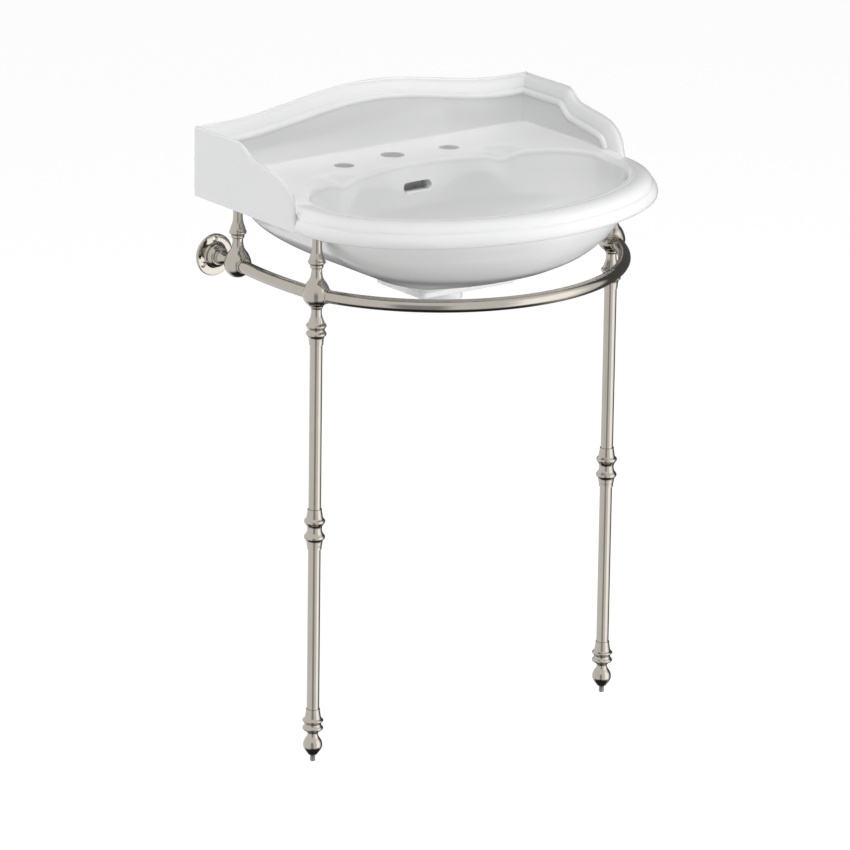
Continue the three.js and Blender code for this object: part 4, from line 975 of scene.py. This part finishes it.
# Legs. Each is built up of a turned neck under the front ball, a plain tube, a
# double-ringed collar, a second tube and a foot collar, all brass and pushed
# together over spigots so that the joints hide behind the rings.
SPIGOT, SPIGOT_DEPTH = 7.2, 18.0
NECK_TOP = BALL_Z - NECK_DROP
NECK_FOOT = NECK_TOP - 57
neck_outside = smooth_line([
    (10, -74.2), (10.3, -71), (10.5, -67.5), (11.2, -63.6), (12.6, -61), (14.2, -59.6), (14.6, -58),
    (14.3, -56.4), (13, -54.8), (11.9, -52.8), (11.9, -51.2), (13, -49.2), (14.3, -47.4), (14.6, -45.8),
    (14.1, -44.4), (12.9, -43.2), (11.7, -41.4), (10.4, -38), (9, -34), (8, -30.6), (7.6, -27),
    (7.6, -23.6), (7.8, -21.4), (8.6, -19.6), (9.5, -18.2), (9.6, -NECK_DROP)], 3)
neck_outside[:, 1] += BALL_Z
spigot_end, hole_end = NECK_FOOT - SPIGOT_DEPTH, NECK_TOP - NECK_STUD_DEPTH
neck_spigot = [(0, spigot_end), (SPIGOT, spigot_end), (SPIGOT, NECK_FOOT)]
neck_hole = [(STUD_HOLE, NECK_TOP), (STUD_HOLE, hole_end), (0, hole_end)]
necks = turned("leg_necks", neck_spigot + neck_outside.tolist() + neck_hole, leg_places["front"], nickel)
# Height of the collar's middle, and half its length
COLLAR, COLLAR_HALF = 353.0, 30.0
half_collar = smooth_line([
    (10.6, 0), (10.8, 2.4), (11.8, 5.6), (13.4, 8.2), (14.9, 10.2), (15.2, 12), (14.8, 13.8), (13.4, 15.2),
    (12.3, 16.6), (11.7, 19), (11.2, 22.6), (10.5, 26.4), (10.3, 28.2), (10.4, COLLAR_HALF)], 3).tolist()
half_section = half_collar + [
    (SPIGOT, COLLAR_HALF), (SPIGOT, COLLAR_HALF + SPIGOT_DEPTH), (0, COLLAR_HALF + SPIGOT_DEPTH)]
collar_section = [(r, COLLAR - z) for r, z in half_section[::-1]]
collar_section += [(r, COLLAR + z) for r, z in half_section[1:]]
collars = turned("leg_collars", collar_section, leg_places["front"], nickel)
# Heights of the foot collar's two ends
FOOT_SEAT, TUBE_SEAT = 46.0, 80.0
foot_collar_outside = smooth_line([
    (9.8, FOOT_SEAT), (11.4, 47), (13.8, 48.4), (15, 50), (15, 51.4), (13.9, 53), (12.5, 54.8), (12, 56.8),
    (12.5, 58.8), (14, 60.6), (15.1, 61.8), (15, 63.2), (13.6, 64.6), (12.2, 66), (11.4, 69), (10.7, 73),
    (10.2, 77), (10.1, TUBE_SEAT)], 3)
LEVEL_HOLE, LEVEL_HOLE_END = 4.1, 52.6
foot_hole = [(0, LEVEL_HOLE_END), (LEVEL_HOLE, LEVEL_HOLE_END), (LEVEL_HOLE, FOOT_SEAT)]
foot_spigot = [(SPIGOT, TUBE_SEAT), (SPIGOT, TUBE_SEAT + SPIGOT_DEPTH), (0, TUBE_SEAT + SPIGOT_DEPTH)]
foot_collars = turned("foot_collars", foot_hole + foot_collar_outside.tolist() + foot_spigot,
                      leg_places["front"], nickel)
TUBE_RADIUS, TUBE_BORE, EDGE_ROUND = 9.0, 7.5, 0.25
tube_rows = {"upper_leg_tubes": (COLLAR + COLLAR_HALF, NECK_FOOT),
             "lower_leg_tubes": (TUBE_SEAT, COLLAR - COLLAR_HALF)}
tubes = []
for name, (low, high) in tube_rows.items():
    tubes.append(turned(name, [
        (TUBE_BORE, low), (TUBE_RADIUS - EDGE_ROUND, low), (TUBE_RADIUS, low + EDGE_ROUND),
        (TUBE_RADIUS, high - EDGE_ROUND), (TUBE_RADIUS - EDGE_ROUND, high), (TUBE_BORE, high),
        (TUBE_BORE, low)], leg_places["front"], nickel))
leg_rows = ((necks, "neck"), (collars, "leg_collar"), (foot_collars, "foot_collar"),
            (tubes[0], "upper_leg_tube"), (tubes[1], "lower_leg_tube"))
for piece, node in leg_rows:
    soften(piece)
    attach(piece, "basin_and_stand")
    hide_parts(node + "_left", node + "_right")

# Ball feet. Small turned brass feet under the foot collars, bored through for
# the levelling stud.
FOOT_BOTTOM = 10.2
ball_foot_outside = smooth_line([
    (5.6, FOOT_BOTTOM), (6.6, 10.6), (8.2, 13), (10.4, 15.8), (12.4, 19), (13.6, 22.2), (13.9, 25),
    (13.6, 28), (12.6, 31.2), (11, 34), (9.2, 36.6), (8.1, 39), (7.6, 41.6), (7.9, 43.6), (9, 45.1),
    (9.7, FOOT_SEAT)], 4)
foot_bore = [(LEVEL_HOLE, FOOT_SEAT), (LEVEL_HOLE, FOOT_BOTTOM)]
ball_feet = turned("ball_feet", foot_bore[1:] + ball_foot_outside.tolist() + foot_bore,
                   leg_places["front"], nickel)
soften(ball_feet)
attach(ball_feet, "basin_and_stand")
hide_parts("ball_foot_left", "ball_foot_right")

# Levelling studs. Rolled steel screws up the middle of each foot, slotted at the
# floor end: turning one raises or lowers its leg.
LEVEL_RADIUS, LEVEL_LENGTH, LEVEL_CHAMFER = 3.8, 44.0, 0.8
THREAD_PITCH, THREAD_DEPTH, THREAD_RINGS = 1.25, 0.55, 283
SLOT_HALF_WIDTH, SLOT_DEPTH = 0.6, 2.0
threading, given, threading_names = new_tree(
    "threaded_stud", {"Place": "Vector", "Radius": "Float", "Length": "Float", "Chamfer": "Float",
                      "Pitch": "Float", "Depth": "Float", "Rings": "Int", "Sides": "Int",
                      "Material": "Material"}, geometry_in=False)


def reckon(operation, first, second=None):
    return calculate(threading, operation, first, second)


sheet, column, ring = sheet_of(threading, given["Sides"], given["Rings"])
round_share = reckon("DIVIDE", column, given["Sides"])
last = reckon("SUBTRACT", given["Rings"], 1)
inner_share = reckon("DIVIDE", reckon("SUBTRACT", ring, 1), reckon("SUBTRACT", given["Rings"], 3))
height = reckon("MULTIPLY", reckon("MINIMUM", reckon("MAXIMUM", inner_share, 0.0), 1.0), given["Length"])
phase = reckon("FRACT", reckon("SUBTRACT", reckon("DIVIDE", height, given["Pitch"]), round_share))
tooth = reckon("ABSOLUTE", reckon("SUBTRACT", reckon("MULTIPLY", phase, 2.0), 1.0))
thread_radius = reckon("SUBTRACT", given["Radius"], reckon("MULTIPLY", tooth, given["Depth"]))
from_end = reckon("MINIMUM", height, reckon("SUBTRACT", given["Length"], height))
end_radius = reckon("ADD", reckon("SUBTRACT", given["Radius"], given["Chamfer"]), from_end)
radius = reckon("MINIMUM", thread_radius, end_radius)
inside = reckon("MULTIPLY", reckon("GREATER_THAN", ring, 0.5),
                reckon("LESS_THAN", ring, reckon("SUBTRACT", last, 0.5)))
radius = reckon("MULTIPLY", radius, inside)
skin = rolled(threading, sheet, radius, reckon("MULTIPLY", round_share, 2 * math.pi), height)
stood = add_node(threading, "GeometryNodeTransform",
                 links={"Geometry": skin, "Translation": given["Place"]})
close_tree(threading, stood.outputs[0], given["Material"])

# Zinc-plated steel: a duller, neutral grey with a fine mottle, about 2 mm wide
steel, tree = new_material("zinc_plated_steel")
place = add_node(tree, "ShaderNodeTexCoord").outputs["Object"]
mottle = add_node(tree, "ShaderNodeTexNoise", values={"Scale": 500.0, "Detail": 4.0},
                  links={"Vector": place})
steel_tone = add_node(tree, "ShaderNodeMix", settings={"data_type": "RGBA"},
                      values={6: linear("#8C8C8B"), 7: linear("#A9A9A6")},
                      links={"Factor": mottle.outputs["Fac"]})
steel_rough = add_node(tree, "ShaderNodeMapRange", values={"To Min": 0.26, "To Max": 0.42},
                       links={"Value": mottle.outputs["Fac"]})
steel_bump = add_node(tree, "ShaderNodeBump", values={"Strength": 0.1, "Distance": 0.0001},
                      links={"Height": mottle.outputs["Fac"]})
screw_steel = add_node(tree, "ShaderNodeBsdfPrincipled", values={"Metallic": 1.0},
                       links={"Base Color": steel_tone.outputs[2], "Roughness": steel_rough.outputs["Result"],
                              "Normal": steel_bump.outputs["Normal"]})
finish_material(tree, screw_steel)

for hand in HANDS:
    x = SIDES[hand] * LEG_X
    name = "levelling_screw_" + hand
    stud = new_object(name, bpy.data.meshes.new(name))
    keys = threading_names
    from_tree(stud, threading, {
        keys["Place"]: (x * MM, (WALL_PLANE - FRONT_LEG) * MM, 0), keys["Radius"]: LEVEL_RADIUS * MM,
        keys["Length"]: LEVEL_LENGTH * MM, keys["Chamfer"]: LEVEL_CHAMFER * MM,
        keys["Pitch"]: THREAD_PITCH * MM, keys["Depth"]: THREAD_DEPTH * MM, keys["Rings"]: THREAD_RINGS,
        keys["Sides"]: 32, keys["Material"]: steel})
    blade = prism("slot", [(-8, -SLOT_HALF_WIDTH), (8, -SLOT_HALF_WIDTH), (8, SLOT_HALF_WIDTH),
                           (-8, SLOT_HALF_WIDTH)],
                  lambda u, v, w: (x + u, v - FRONT_LEG, w), -SLOT_DEPTH, SLOT_DEPTH)
    work(stud, [(blade, "DIFFERENCE")])
    soften(stud, 24)
    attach(stud, hand + "_levelling_stud")
    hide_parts("levelling_stud_" + hand)

# Joining studs and grub screws. Plain steel pins inside the turned work: they
# keep their simple shape and only take the screws' steel.
for name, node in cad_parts.items():
    if name.startswith(("post_stud", "neck_stud", "grub_screw")):
        node.data.materials.clear()
        node.data.materials.append(steel)


# Studio. A white floor and surround as in a cut-out photograph. Large soft lamps
# hang above it and stand low in front and at its sides. Shiny surfaces see the
# white surround and soft-edged cards round it, but not the lamps.
FLOOR_HALF, FLOOR_HEIGHT = 15.0, -0.0005
floor_mesh = bpy.data.meshes.new("floor")
floor_mesh.from_pydata([
    (-FLOOR_HALF, -FLOOR_HALF, FLOOR_HEIGHT), (FLOOR_HALF, -FLOOR_HALF, FLOOR_HEIGHT),
    (FLOOR_HALF, FLOOR_HALF, FLOOR_HEIGHT), (-FLOOR_HALF, FLOOR_HALF, FLOOR_HEIGHT)], [], [(0, 1, 2, 3)])
floor = new_object("floor", floor_mesh)
floor.visible_glossy = False
white_floor, tree = new_material("white_floor")
seen_directly = add_node(tree, "ShaderNodeLightPath").outputs["Is Camera Ray"]
bounce = add_node(tree, "ShaderNodeBsdfDiffuse", values={"Color": linear("#ACACAC")})
shaded = add_node(tree, "ShaderNodeBsdfDiffuse", values={"Color": linear("#646464")})
glow = add_node(tree, "ShaderNodeEmission", values={"Color": (1, 1, 1, 1), "Strength": 0.95})
shown = add_node(tree, "ShaderNodeAddShader", links={0: shaded.outputs[0], 1: glow.outputs[0]})
mixed = add_node(tree, "ShaderNodeMixShader",
                 links={0: seen_directly, 1: bounce.outputs[0], 2: shown.outputs[0]})
add_node(tree, "ShaderNodeOutputMaterial", links={"Surface": mixed.outputs[0]})
floor.data.materials.append(white_floor)

world = bpy.data.worlds.new("surround")
scene.world = world
world.use_nodes = True
tree = world.node_tree
tree.nodes.clear()
path = add_node(tree, "ShaderNodeLightPath").outputs
shiny = add_node(tree, "ShaderNodeMath", settings={"operation": "ADD", "use_clamp": True},
                 links={0: path["Is Glossy Ray"], 1: path["Is Transmission Ray"]})
seen = add_node(tree, "ShaderNodeMath", settings={"operation": "ADD", "use_clamp": True},
                links={0: path["Is Camera Ray"], 1: shiny.outputs[0]})
lit = add_node(tree, "ShaderNodeBackground", values={"Color": (1, 1, 1, 1), "Strength": 0.1})
white = add_node(tree, "ShaderNodeBackground", values={"Color": (1, 1, 1, 1), "Strength": 1.0})
both = add_node(tree, "ShaderNodeMixShader",
                links={0: seen.outputs[0], 1: lit.outputs[0], 2: white.outputs[0]})
add_node(tree, "ShaderNodeOutputWorld", links={"Surface": both.outputs[0]})


def add_card(name, point_at, across, upright, strength, softness=0.3, columns=33, rows=17):
    """Card that only shiny surfaces see; it fades out towards its edges."""
    points, fades = [], []
    for i in range(rows):
        for j in range(columns):
            u, v = j / (columns - 1), i / (rows - 1)
            points.append(point_at(across[0] + (across[1] - across[0]) * u,
                                   upright[0] + (upright[1] - upright[0]) * v))
            fades.append(float(soft_step(min(u, 1 - u), 0, softness) * soft_step(min(v, 1 - v), 0, softness)))
    faces = [(i * columns + j, i * columns + j + 1, (i + 1) * columns + j + 1, (i + 1) * columns + j)
             for i in range(rows - 1) for j in range(columns - 1)]
    mesh = bpy.data.meshes.new(name)
    mesh.from_pydata(points, [], faces)
    mesh.attributes.new("fade", "FLOAT", "POINT").data.foreach_set("value", fades)
    card = new_object(name, mesh)
    card.visible_camera = card.visible_diffuse = card.visible_shadow = False
    card.visible_transmission = False
    finish, tree = new_material(name)
    fade = add_node(tree, "ShaderNodeAttribute", settings={"attribute_name": "fade"}).outputs["Fac"]
    clear = add_node(tree, "ShaderNodeBsdfTransparent")
    glow = add_node(tree, "ShaderNodeEmission", values={"Color": (1, 1, 1, 1), "Strength": strength})
    mixed = add_node(tree, "ShaderNodeMixShader", links={0: fade, 1: clear.outputs[0], 2: glow.outputs[0]})
    add_node(tree, "ShaderNodeOutputMaterial", links={"Surface": mixed.outputs[0]})
    mesh.materials.append(finish)


CARD_DISTANCE, LOW_CARD_HEIGHT = 3.0, -1.5


def on_wall(azimuth, height):
    """Point of an upright card; the azimuth runs from the front towards the right."""
    a = math.radians(azimuth)
    return (CARD_DISTANCE * math.sin(a), -CARD_DISTANCE * math.cos(a), height)


def on_ground(x, y):
    return (x, y, LOW_CARD_HEIGHT)


add_card("bright_card", on_wall, (2, 66), (-3, 3.5), 1.85)
add_card("camera_side_card", on_wall, (-66, -22), (-3, 2.4), 0.42)
add_card("dark_right_card", on_wall, (71, 172), (-3, 6), 0.1, 0.1)
add_card("dark_low_card", on_ground, (-2.6, 2.6), (-2.6, 2.6), 0.03)


def add_light(name, centre, target, width, height, watts):
    """Rectangular lamp that shiny surfaces don't see."""
    data = bpy.data.lights.new(name, "AREA")
    data.shape = "RECTANGLE"
    data.size, data.size_y = width, height
    data.energy = watts
    lamp = new_object(name, data)
    lamp.location = centre
    lamp.rotation_euler = (Vector(target) - Vector(centre)).to_track_quat("-Z", "Y").to_euler()
    lamp.visible_glossy = False


add_light("overhead", (-0.2, -0.4, 3.2), (0, 0, 0.8), 2.0, 2.0, 42)
add_light("right_high", (2.2, -0.5, 2.5), (0, 0, 0.8), 1.6, 1.6, 21)
add_light("left_high", (-1.8, -1.6, 2.6), (0, 0, 0.8), 1.4, 1.4, 14)
add_light("front_low", (0.8, -2.8, 0.25), (0, 0, 0.75), 1.6, 0.8, 60)
add_light("right_low", (2.6, -0.9, 0.3), (0, 0, 0.75), 1.2, 0.8, 34)
add_light("left_low", (-3.0, 0.1, 0.3), (-0.2, 0, 0.8), 1.0, 0.8, 26)
add_light("left_back_low", (-2.6, 1.9, 0.6), (-0.2, 0, 0.85), 1.2, 0.9, 30)

scene.view_settings.view_transform = "Standard"
